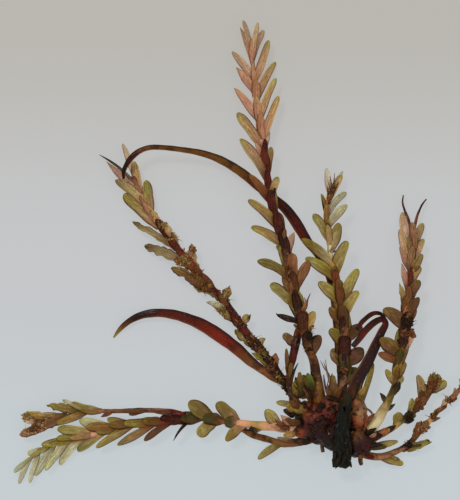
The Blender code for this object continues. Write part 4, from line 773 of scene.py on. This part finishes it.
def add_shoot(growth, shoot):
    """A stem with its leaves, its scales and its threads."""
    add_stem(growth, shoot["route"], shoot["stem"])
    spots, _, (ways, _, _), _ = traced(shoot["route"], 4)
    clasped = list(zip(ways, tone_run(shoot["stem"], len(spots))))
    breadth = shoot.get("breadth", 1)
    for *foot, across, down, width, rise, tone in shoot["leaves"]:
        at = nearest(spots, *foot)
        x, y, up, _ = spots[at]
        foot, tip = place(x, y, up), place(across, down, max(up + rise, LEAF_THICKNESS))
        arch = BLADE_ARCH * np.linalg.norm(tip - foot)
        add_leaf(growth, foot, tip, width * breadth, tone, arch, clasped=clasped[at])
    for kind, (foot_share, tip_share, lift, hug) in HUGGING.items():
        for *foot, across, down, width, tone in shoot.get(kind, []):
            at = nearest(spots, *foot)
            x, y, up, stem_width = spots[at]
            foot = place(x, y, up + stem_width * foot_share)
            tip = place(across, down, up + stem_width * tip_share + lift)
            add_leaf(growth, foot, tip, width, tone, lift, hug=hug, clasped=clasped[at])
    for thread in shoot.get("threads", []):
        route = [(*spot, THREAD_WIDTH * (1.1 - 0.8 * i / len(thread))) for i, spot in enumerate(thread)]
        add_stem(growth, route, "tkb", THREAD_KNOTS)
    add_threads(growth, shoot.get("spines", []))


def chance(*spreads):
    """Normal random draws around zero, one for each of these spreads."""
    return np.array([rng.gauss(0, spread) for spread in spreads])


def add_crumb(growth, at, size, tone):
    """One uneven crumb or flake: a small lofted lump, drawn out one way and flattened another."""
    seed = rng.uniform(0, 90)
    longer, flatter = unit(chance(1, 1, 0.6)), unit(chance(1, 1, 0.6))
    flatness = rng.uniform(0, 0.75)
    points = np.empty((CRUMB_RINGS, CRUMB_SIDES, 3))
    for i in range(CRUMB_RINGS):
        tilt = math.pi * (i + 0.5) / CRUMB_RINGS
        for j, turn in enumerate(circle(CRUMB_SIDES)):
            way = np.array([math.sin(tilt) * math.cos(turn), math.sin(tilt) * math.sin(turn), math.cos(tilt)])
            bulge = 1 + 0.75 * noise.noise(Vector(way * 1.4) + Vector((seed, 0, 0)))
            way = way + longer * (way @ longer) * 0.9
            points[i, j] = at + (way - flatter * (way @ flatter) * flatness) * size * bulge
    shade = np.repeat((linear(TONES[tone]) * rng.uniform(0.5, 1.05))[None, :], CRUMB_RINGS, axis=0)
    growth.loft(points[::-1], shade, grains(np.zeros((CRUMB_RINGS, CRUMB_SIDES)), 0, seed))


def settle(skin, spots, across, down):
    """Where a crumb at this place comes to sit on the skin, and the way out of the skin there."""
    x, y, _ = place(across, down, 0)
    hit, normal, _, _ = skin.ray_cast(Vector((x, y, 9)), Vector((0, 0, -1)))
    if hit is None or rng.random() < 0.3:
        _, _, up, width = spots[nearest(spots, across, down)]
        hit, normal, _, _ = skin.find_nearest(Vector((x, y, up + width * rng.uniform(-0.5, 0.5))))
    return np.array(hit), np.array(normal)


def algae(name, shoot, clumps, tissue):
    """Crumbs, flakes and short frayed fibres that sit on a shoot's skin."""
    growth = Growth()
    skin = skin_of(tissue, MM)
    spots = smoothed(shoot["route"], 8)
    for across, down, reach, crumbs, tones in clumps:
        for _ in range(int(crumbs) * CRUMBS_EACH):
            at, normal = settle(skin, spots, rng.gauss(across, reach * 0.45), rng.gauss(down, reach * 0.45))
            add_crumb(growth, at + normal * 0.02, rng.choice(CRUMB_SIZES), rng.choice(tones))
        for _ in range(int(crumbs)):
            at, normal = settle(skin, spots, rng.gauss(across, reach * 0.5), rng.gauss(down, reach * 0.5))
            way = unit(normal * 0.8 + chance(0.6, 0.6, 0.3))
            bend = np.array([*chance(0.5, 0.5), -0.3])
            length = rng.uniform(*FIBRE_LENGTH)
            fibre = []
            for share in (0, 0.4, 0.75, 1):
                x, y, up = at + (way + bend * share) * length * share
                width = FIBRE_WIDTH - FIBRE_TAPER * share
                fibre.append((x + ORIGIN_ACROSS, ORIGIN_DOWN - y, max(up, FIBRE_LOWEST), width))
            add_stem(growth, fibre, rng.choice(tones) * 2, steps=2, sides=5)
    return growth.piece(name + "_algae", [ALGAE_FINISH])


class Value:
    """A shader value. Python's operators on it add Math nodes to its material."""

    def __init__(self, finish, socket):
        self.finish, self.socket = finish, socket

    def _math(self, operation, *values):
        return self.finish.node("ShaderNodeMath", {"operation": operation}, dict(enumerate(values)))

    def __add__(self, other):
        return self._math("ADD", self, other)

    __radd__ = __add__

    def __mul__(self, other):
        return self._math("MULTIPLY", self, other)

    __rmul__ = __mul__

    def __sub__(self, other):
        return self._math("SUBTRACT", self, other)

    def __rsub__(self, other):
        return self._math("SUBTRACT", other, self)

    def __abs__(self):
        return self._math("ABSOLUTE", self)


class Finish:
    """One node material, with a Principled shader at its end."""

    def __init__(self, name):
        self.material = bpy.data.materials.new(name)
        self.material.use_nodes = True
        self.tree = self.material.node_tree
        self.shader = self.tree.nodes["Principled BSDF"]

    def node(self, kind, settings, sockets, output=0):
        made = self.tree.nodes.new(kind)
        for name, setting in settings.items():
            setattr(made, name, setting)
        self.join(made, sockets)
        return Value(self, made.outputs[output])

    def join(self, node, sockets):
        for name, value in sockets.items():
            if isinstance(value, Value):
                self.tree.links.new(value.socket, node.inputs[name])
            else:
                node.inputs[name].default_value = value

    def noise(self, vector, scale, detail=3.0, roughness=0.5):
        sockets = {"Vector": vector, "Scale": scale, "Detail": detail, "Roughness": roughness}
        return self.node("ShaderNodeTexNoise", {"noise_dimensions": "3D"}, sockets)

    def smooth(self, value, low, high):
        """0 below low, 1 above high, and smooth between them."""
        sockets = {"Value": value, "From Min": low, "From Max": high}
        return self.node("ShaderNodeMapRange", {"interpolation_type": "SMOOTHSTEP"}, sockets)

    def mix(self, share, a, b, way="MIX"):
        """Colour a, or b where the share is 1."""
        sockets = {0: share, 6: a, 7: b}
        return self.node("ShaderNodeMix", {"data_type": "RGBA", "blend_type": way}, sockets, output=2)

    def times(self, shade, red, green, blue):
        return self.mix(1.0, shade, (red, green, blue, 1), "MULTIPLY")

    def layers(self, shade, *layers):
        """A shade with layers of (share, colour) over it, one after another."""
        for share, layer in layers:
            shade = self.mix(share, shade, layer)
        return shade

    def scaled(self, vector, by):
        return self.node("ShaderNodeVectorMath", {"operation": "MULTIPLY"}, {0: vector, 1: by})

    def parts(self, vector):
        return [self.node("ShaderNodeSeparateXYZ", {}, {0: vector}, output=i) for i in range(3)]

    def wave(self, value):
        return self.node("ShaderNodeMath", {"operation": "SINE"}, {0: value})

    def attribute(self, name, output):
        return self.node("ShaderNodeAttribute", {"attribute_name": name}, {}, output)

    def tone(self):
        return self.attribute("tone", 0)

    def density(self):
        return self.attribute("tone", 3)

    def grain(self):
        return self.attribute("grain", 1)

    def place(self):
        return self.node("ShaderNodeTexCoord", {}, {}, output=3)

    def bump(self, height, distance):
        return self.node("ShaderNodeBump", {}, {"Height": height, "Distance": distance, "Strength": 1.0})

    def shade(self, **sockets):
        for name, value in sockets.items():
            self.join(self.shader, {name.replace("_", " ").title().replace("Ior", "IOR"): value})
        return self.material


def colour(red, green, blue):
    return (*linear((red, green, blue)), 1)


def leaf_finish():
    """Thin wet tissue: fine veins, one dark rim and one light one, a rusty foot, and speckles."""
    leaf = Finish("leaf_tissue")
    tone, grain = leaf.tone(), leaf.grain()
    along, across, _ = leaf.parts(grain)
    cells = leaf.noise(leaf.scaled(grain, (9, 7, 1)), 2.2, 4)
    broad = leaf.noise(leaf.scaled(grain, (3, 2, 1)), 1.6, 3)
    mottle = leaf.noise(leaf.place(), 1500, 3)
    speckle = leaf.noise(leaf.place(), 5200, 2)
    foot = 1 - leaf.smooth(along + (mottle - 0.5) * 0.3, 0.02, 0.4)
    dark_rim = leaf.smooth(across + (cells - 0.5) * 0.25, 0.62, 0.95)
    light_rim = leaf.smooth(-1 * across + (cells - 0.5) * 0.3, 0.55, 0.9)
    thin_rim = leaf.smooth(abs(across) + leaf.smooth(along, 0.8, 1.0) * 0.5 + (cells - 0.5) * 0.2, 0.86, 1.02)
    rust = leaf.smooth(across + (broad - 0.5) * 2.2, 0.1, 0.9)
    veins = leaf.smooth(leaf.wave(across * 8.5 + (cells - 0.5) * 1.2), 0.72, 1.0)
    light = leaf.smooth(broad, 0.44, 0.66)
    shade = leaf.layers(
        leaf.mix(light, leaf.times(tone, 0.78, 0.72, 0.68), leaf.times(tone, 1.4, 1.4, 1.3)),
        (leaf.smooth(mottle, 0.5, 0.64) * 0.32, leaf.mix(0.5, tone, colour(120, 66, 30))),
        (leaf.smooth(1 - mottle, 0.52, 0.66) * 0.28, leaf.times(tone, 0.55, 0.5, 0.4)),
        (veins * 0.3, colour(100, 72, 28)),
        (rust * 0.5, leaf.mix(0.5, tone, colour(110, 46, 22))),
        (light_rim * 0.8, leaf.times(tone, 1.3, 1.42, 1.1)),
        (foot * 0.5, leaf.mix(0.5, tone, colour(104, 40, 20))),
        (leaf.smooth(speckle, 0.58, 0.72) * 0.35, colour(76, 42, 18)),
    )
    shade = leaf.mix(dark_rim * 0.66, shade, leaf.times(shade, 0.36, 0.24, 0.2))
    shade = leaf.mix(thin_rim * 0.28, shade, leaf.times(shade, 0.42, 0.42, 0.3))
    return leaf.shade(
        base_color=shade,
        roughness=0.38 + cells * 0.25,
        specular_ior_level=0.12,
        coat_weight=0.05,
        coat_roughness=0.12,
        alpha=leaf.density() * (0.9 + light * -0.1 + thin_rim * 0.2 + foot * 0.3),
        subsurface_weight=0.15,
        subsurface_radius=(1.0, 0.7, 0.3),
        subsurface_scale=0.0002,
        normal=leaf.bump(cells + veins * 0.3 + speckle * 0.3, 0.00005),
    )


def stem_finish():
    """Wet stems with darker knots, fine lines along them with a painted glow, and small painted wet glints.
    """
    stem = Finish("stem_tissue")
    tone = stem.tone()
    lines = stem.noise(stem.scaled(stem.grain(), (1.2, 4, 1)), 3.0, 4)
    mottle = stem.noise(stem.place(), 1300, 4)
    speckle = stem.noise(stem.place(), 4200, 3)
    blotches = stem.smooth(mottle, 0.46, 0.6) * stem.density()
    knots = stem.mix(blotches, (1.25, 1.2, 1.15, 1), (0.36, 0.28, 0.26, 1))
    shade = stem.layers(
        stem.mix(1.0, tone, knots, "MULTIPLY"),
        # Painted glow: the tone made lighter along the fine lines
        (stem.smooth(lines, 0.5, 0.66) * 0.35, stem.times(tone, 1.6, 1.5, 1.4)),
        # Painted wet glints: small pinkish-white specks
        (stem.smooth(speckle, 0.58, 0.66) * 0.42, stem.mix(0.5, tone, colour(214, 160, 140))),
    )
    return stem.shade(
        base_color=shade,
        roughness=0.34 + mottle * 0.25,
        specular_ior_level=0.1,
        coat_weight=0.06,
        coat_roughness=0.1,
        subsurface_weight=0.12,
        subsurface_radius=(1.0, 0.4, 0.2),
        subsurface_scale=0.0002,
        normal=stem.bump(lines + mottle * 0.6 + speckle * 0.3, 0.00007),
    )


def ribbon_finish():
    """Dark glossy ribbons, darker along one edge, with long streaks and blotches."""
    skin = Finish("ribbon_skin")
    tone, grain = skin.tone(), skin.grain()
    _, across, _ = skin.parts(grain)
    streaks = skin.noise(skin.scaled(grain, (0.7, 5, 1)), 2.0, 5)
    mottle = skin.noise(skin.place(), 900, 4)
    fine = skin.noise(skin.place(), 4000, 3)
    upper = 1 - skin.smooth(across + (streaks - 0.5) * 1.2, -0.85, -0.25)
    lower = skin.smooth(across + (streaks - 0.5) * 0.6, 0.55, 0.95)
    shade = skin.layers(
        tone,
        (skin.smooth(streaks, 0.5, 0.7) * 0.4, skin.times(tone, 1.7, 1.35, 1.1)),
        (skin.smooth(mottle, 0.48, 0.62) * 0.6, colour(40, 16, 12)),
        (upper * 0.8, colour(32, 20, 14)),
        (lower * 0.6, colour(122, 72, 34)),
        (skin.smooth(fine, 0.6, 0.72) * 0.2, colour(150, 96, 62)),
    )
    return skin.shade(
        base_color=shade,
        roughness=0.26 + mottle * 0.25,
        specular_ior_level=0.1,
        coat_weight=0.05,
        coat_roughness=0.1,
        normal=skin.bump(streaks + mottle * 0.5 + fine * 0.3, 0.00007),
    )


def crown_finish():
    """Swollen wet flesh, whose colour changes from place to place, with cracks and pale specks."""
    flesh = Finish("crown_flesh")
    at, tone, scar = flesh.place(), flesh.tone(), colour(20, 12, 8)
    broad = flesh.noise(at, 420, 4)
    fine = flesh.noise(at, 1700, 5, 0.6)
    specks = flesh.noise(at, 5000, 3)
    shade = flesh.layers(
        tone,
        (flesh.smooth(broad, 0.42, 0.6) * 0.45, colour(46, 18, 14)),
        (flesh.smooth(fine, 0.52, 0.68) * 0.3, flesh.times(tone, 1.9, 1.6, 1.3)),
        (flesh.smooth(1 - fine, 0.5, 0.64) * 0.75, scar),
        (flesh.smooth(specks, 0.62, 0.72) * 0.2, colour(150, 110, 90)),
    )
    return flesh.shade(
        base_color=flesh.mix(flesh.smooth(flesh.density() + (fine - 0.5) * 0.9, 0.0, 0.9), scar, shade),
        roughness=0.28 + fine * 0.35,
        specular_ior_level=0.1,
        coat_weight=0.1,
        coat_roughness=0.08,
        normal=flesh.bump(fine + broad + specks * 0.2, 0.00014),
    )


def old_root_finish():
    """Dead root: black-green bark with painted blue-grey highlights in streaks."""
    bark = Finish("old_root_bark")
    grain = bark.grain()
    along, _, _ = bark.parts(grain)
    streaks = bark.noise(bark.scaled(grain, (1.0, 6, 1)), 2.0, 6, 0.65)
    mottle = bark.noise(bark.place(), 1500, 5)
    shade = bark.layers(
        bark.mix(bark.smooth(streaks, 0.45, 0.7), colour(18, 17, 12), colour(44, 44, 32)),
        # Painted highlights: blue-grey patches laid over the bark where the mottle is high
        (bark.smooth(mottle, 0.54, 0.7) * 0.5, colour(70, 76, 78)),
        (bark.smooth(along + (mottle - 0.5) * 4, 6.6, 7.8) * 0.6, colour(84, 74, 32)),
        ((1 - bark.smooth(along + (mottle - 0.5) * 2, 0.3, 1.3)) * 0.4, colour(78, 60, 32)),
    )
    normal = bark.bump(streaks + mottle * 0.6, 0.0002)
    return bark.shade(base_color=shade, roughness=0.55 + mottle * 0.3, specular_ior_level=0.12, normal=normal)


def algae_finish():
    """Brown crumbs of algae."""
    crumb = Finish("brown_algae")
    tone, fine = crumb.tone(), crumb.noise(crumb.place(), 6000, 4)
    shade = crumb.layers(
        tone,
        (crumb.smooth(fine, 0.4, 0.62) * 0.6, colour(66, 42, 22)),
        (crumb.smooth(fine, 0.56, 0.7) * 0.5, crumb.times(tone, 1.5, 1.45, 1.35)),
    )
    normal = crumb.bump(fine, 0.00008)
    return crumb.shade(base_color=shade, roughness=0.8, specular_ior_level=0.15, normal=normal)


def sheet_finish():
    """The pale sheet under the plant: a shade warmer towards its top edge."""
    sheet = Finish("pale_sheet")
    _, up, _ = sheet.parts(sheet.place())
    low = sheet.mix(sheet.smooth(up, -0.024, 0.002), colour(199, 207, 210), colour(198, 199, 200))
    tint = sheet.mix(sheet.smooth(up, 0.0, 0.024), low, colour(187, 184, 177))
    return sheet.shade(
        base_color=sheet.times(tint, 0.22, 0.22, 0.22),
        roughness=0.8,
        specular_ior_level=0.0,
        emission_color=tint,
        emission_strength=0.78,
    )


def voxel_skin(source, voxel):
    """The source object's lobes grown together into one skin, as a new mesh."""
    change = source.modifiers.new("one_skin", "REMESH")
    change.mode = "VOXEL"
    change.voxel_size = voxel
    bpy.context.view_layer.update()
    mesh = bpy.data.meshes.new_from_object(source.evaluated_get(bpy.context.evaluated_depsgraph_get()))
    bpy.data.objects.remove(source)
    return mesh


def vectors_of(mesh, field):
    found = np.empty(len(mesh.vertices) * 3)
    mesh.vertices.foreach_get(field, found)
    return found.reshape(-1, 3)


def crown_body():
    """The swollen crown: its lobes and knobs grown together into one skin."""
    shape = bmesh.new()
    for across, down, up, *half_sizes in CROWN_LOBES:
        middle = place(across, down, up)
        for vert in bmesh.ops.create_icosphere(shape, subdivisions=4, radius=1)["verts"]:
            swell = 1 + 0.1 * noise.noise(Vector(vert.co) * 1.7 + Vector(middle))
            vert.co = Vector(middle + np.array(vert.co) * half_sizes * swell) * MM
    lobes = linked("lobes", bpy.data.meshes.new("lobes"))
    shape.to_mesh(lobes.data)
    shape.free()
    mesh = voxel_skin(lobes, CROWN_VOXEL * MM)
    mesh.name = "crown_flesh"
    points, normals = vectors_of(mesh, "co"), vectors_of(mesh, "normal")
    knobs = np.array([noise.noise(Vector(p) * 1500) for p in points])
    folds = np.array([noise.ridged_multi_fractal(Vector(p) * 900, 1.0, 2.1, 4, 1.0, 2.0) for p in points])
    points = points + normals * (knobs * KNOB_HEIGHT + (folds - 1.2) * FOLD_HEIGHT)[:, None] * MM
    weights = []
    for across, down, reach, _ in CROWN_TINTS:
        away = np.linalg.norm(points[:, :2] / MM - place(across, down, 0)[:2], axis=1)
        weights.append(np.exp(-((away / reach) ** 2)) + 1e-6)
    weights = np.array(weights)
    blend = (weights / weights.sum(axis=0)).T @ np.array([linear(TONES[spot[3]]) for spot in CROWN_TINTS])
    flesh_share = np.ones(len(points))
    for across, down, wide, long in CROWN_SCARS:
        away = (points[:, :2] / MM - place(across, down, 0)[:2]) / (wide / 2, long / 2)
        away = np.linalg.norm(away * (1 + 0.6 * knobs)[:, None], axis=1)
        depth = np.exp(-(away**2)) * (normals[:, 2] > 0)
        points = points - normals * (depth * SCAR_DEPTH * MM)[:, None]
        flesh_share = flesh_share * (1 - np.minimum(depth * 1.3, 1))
    points[:, 2] = np.clip(points[:, 2], 0, CAD_BOX[1][2])
    mesh.vertices.foreach_set("co", points.ravel())
    paint(mesh, np.column_stack([blend, flesh_share]))
    mesh.materials.clear()
    mesh.materials.append(crown_finish())
    mesh.shade_smooth()
    return linked("crown_flesh", mesh)


def crown_growths(flesh):
    """The crown's leaves and rootlets, and the remains of old leaves."""
    growth = Growth()
    for leaves, hug in ((CROWN_LEAVES, 0.0), (CROWN_TUFT, -0.2)):
        for *places, width, tone in leaves:
            add_leaf(growth, place(*places[:3]), place(*places[3:]), width, tone, SCALE_LIFT, hug=hug)
    for route in CROWN_ROOTLETS:
        add_stem(growth, route, "bab")
    add_threads(growth, CROWN_STRANDS)
    skin = skin_of(flesh, 1)
    down_way = Vector((0, 0, -1))
    for _ in range(REMAINS):
        across, down = [rng.gauss(*both) for both in zip(CROWN_MIDDLE, REMAINS_SPREAD)]
        hit, normal, _, _ = skin.ray_cast(Vector(place(across, down, 6)) * MM, down_way)
        if hit is None:
            continue
        at, normal = np.array(hit) / MM, np.array(normal)
        way = np.array((across - CROWN_MIDDLE[0] + rng.gauss(0, 0.6), 1.4 + rng.gauss(0, 0.7), 0))
        way = unit(way - normal * (way @ normal))
        length = rng.uniform(*REMAINS_LENGTH)
        tip = at + way * length + normal * rng.uniform(0.0, 0.15)
        tint = min(CROWN_TINTS, key=lambda spot: (spot[0] - across) ** 2 + (spot[1] - down) ** 2)[3]
        dark = "kkd" if down > 42.6 or across > 32.6 else "km"
        add_leaf(growth, at, tip, rng.uniform(*REMAINS_WIDTH), rng.choice(tint + tint + dark), 0.03, hug=0.4)
        for _ in range(CRUMBS_BESIDE):
            beside = at + (*chance(0.5, 0.5), 0)
            low = skin.ray_cast(Vector((beside[0], beside[1], 6)) * MM, down_way)[0]
            if low is not None:
                add_crumb(growth, np.array(low) / MM, rng.uniform(0.03, 0.09), rng.choice("kkdmvb"))
    return growth.piece("crown_leaves", [STEM_FINISH, LEAF_FINISH])


def old_root():
    """The dead root: a ridged loft whose lower end is torn into splinters."""
    growth = Growth()
    spots, line, (_, side, face), run = traced(STUMP_ROUTE, STUMP_STEPS)
    turn = circle(STUMP_SIDES)
    end = place(0, STUMP_END, 0)[1]
    bark = [[Vector((x * 0.5, math.cos(t) * 2.4 + 7, math.sin(t) * 2.4)) for t in turn] for x in run]
    relief = np.array([[noise.fractal(at, 1.0, 2.0, 4) for at in ring] for ring in bark])
    radius = spots[:, 3:4] / 2 * (0.95 + 0.3 * relief)
    rings = around(line[:, None], side, face, radius * np.cos(turn), radius * np.sin(turn))
    torn = np.array([noise.noise(Vector((math.cos(t) * 3.2, math.sin(t) * 3.2, 4))) for t in turn])
    near_end = np.clip((run - run[-1] + TORN_LENGTH) / TORN_LENGTH, 0, 1) ** 2
    rings[..., 1] = np.maximum(rings[..., 1] + near_end[:, None] * torn[None, :] * TORN_DEPTH, end)
    growth.loft(rings, tone_run("dd", len(line)), grains(run[:, None], turn[None, :] / math.pi, 3.0))
    for _ in range(SPLINTERS):
        ring, at = rng.randrange(3, len(line) - 2), rng.randrange(STUMP_SIDES)
        foot = rings[ring, at] * 0.97 + line[ring] * 0.03
        out = unit(rings[ring, at] - line[ring])
        tip = foot + out * rng.uniform(0.02, 0.3)
        tip = tip + (rng.uniform(*SPLINTER_LEAN), rng.uniform(*SPLINTER_REACH), 0)
        tip[1] = max(tip[1], end)
        add_leaf(growth, foot, tip, rng.uniform(*SPLINTER_WIDTH), "d", 0.05, finish=0, hug=0.2)
    return growth.piece("old_root_bark", [old_root_finish()])


def sheet_and_light():
    """The sheet that the plant lies on, the pale room around it, and two soft lamps."""
    floor = bpy.data.meshes.new("sheet")
    corners = [(x * SHEET_REACH, y * SHEET_REACH, 0) for x, y in ((-1, -1), (1, -1), (1, 1), (-1, 1))]
    floor.from_pydata(corners, [], [(0, 1, 2, 3)])
    floor.materials.append(sheet_finish())
    sheet = linked("sheet", floor)
    world = bpy.data.worlds.new("room")
    world.use_nodes = True
    room = world.node_tree.nodes["Background"].inputs
    room["Color"].default_value, room["Strength"].default_value = ROOM_COLOUR, ROOM_STRENGTH
    bpy.context.scene.world = world
    bpy.context.scene.view_settings.view_transform = "Standard"
    for name, (at, size, power) in LAMPS.items():
        light = bpy.data.lights.new(name, "AREA")
        light.size, light.energy = size, power
        lamp = linked(name, light)
        lamp.location = at
        lamp.rotation_euler = (-Vector(at)).to_track_quat("-Z", "Y").to_euler()


def overhead_camera():
    """A long lens straight above the middle of the sheet's seen piece."""
    camera = bpy.data.cameras.new("camera")
    camera.lens, camera.sensor_width = LENS, SENSOR
    camera.clip_start, camera.clip_end = 0.01, 10
    eye = linked("camera", camera)
    eye.location = Vector(place(SEEN_ACROSS / 2, SEEN_DOWN / 2, SEEN_DOWN * LENS / SENSOR + 1.5)) * MM
    bpy.context.scene.camera = eye


def dress(piece, node):
    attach(piece, "root")
    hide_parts(node)


LEAF_FINISH, STEM_FINISH = leaf_finish(), stem_finish()
RIBBON_FINISH, ALGAE_FINISH = ribbon_finish(), algae_finish()
for name, shoot in SHOOTS.items():
    growth = Growth()
    add_shoot(growth, shoot)
    dress(growth.piece(name + "_tissue", [STEM_FINISH, LEAF_FINISH]), name)
for name, clumps in ALGAE.items():
    tissue = bpy.data.objects[name + "_tissue"]
    dress(algae(name, SHOOTS[name], clumps, tissue), name)
for name, routes in RIBBONS.items():
    growth = Growth()
    for route in routes:
        add_ribbon(growth, route, RIBBON_TONES[name])
    dress(growth.piece(name + "_skin", [RIBBON_FINISH]), name)
flesh = crown_body()
dress(flesh, "crown")
dress(crown_growths(flesh), "crown")
dress(old_root(), "old_root_stump")
sheet_and_light()
overhead_camera()
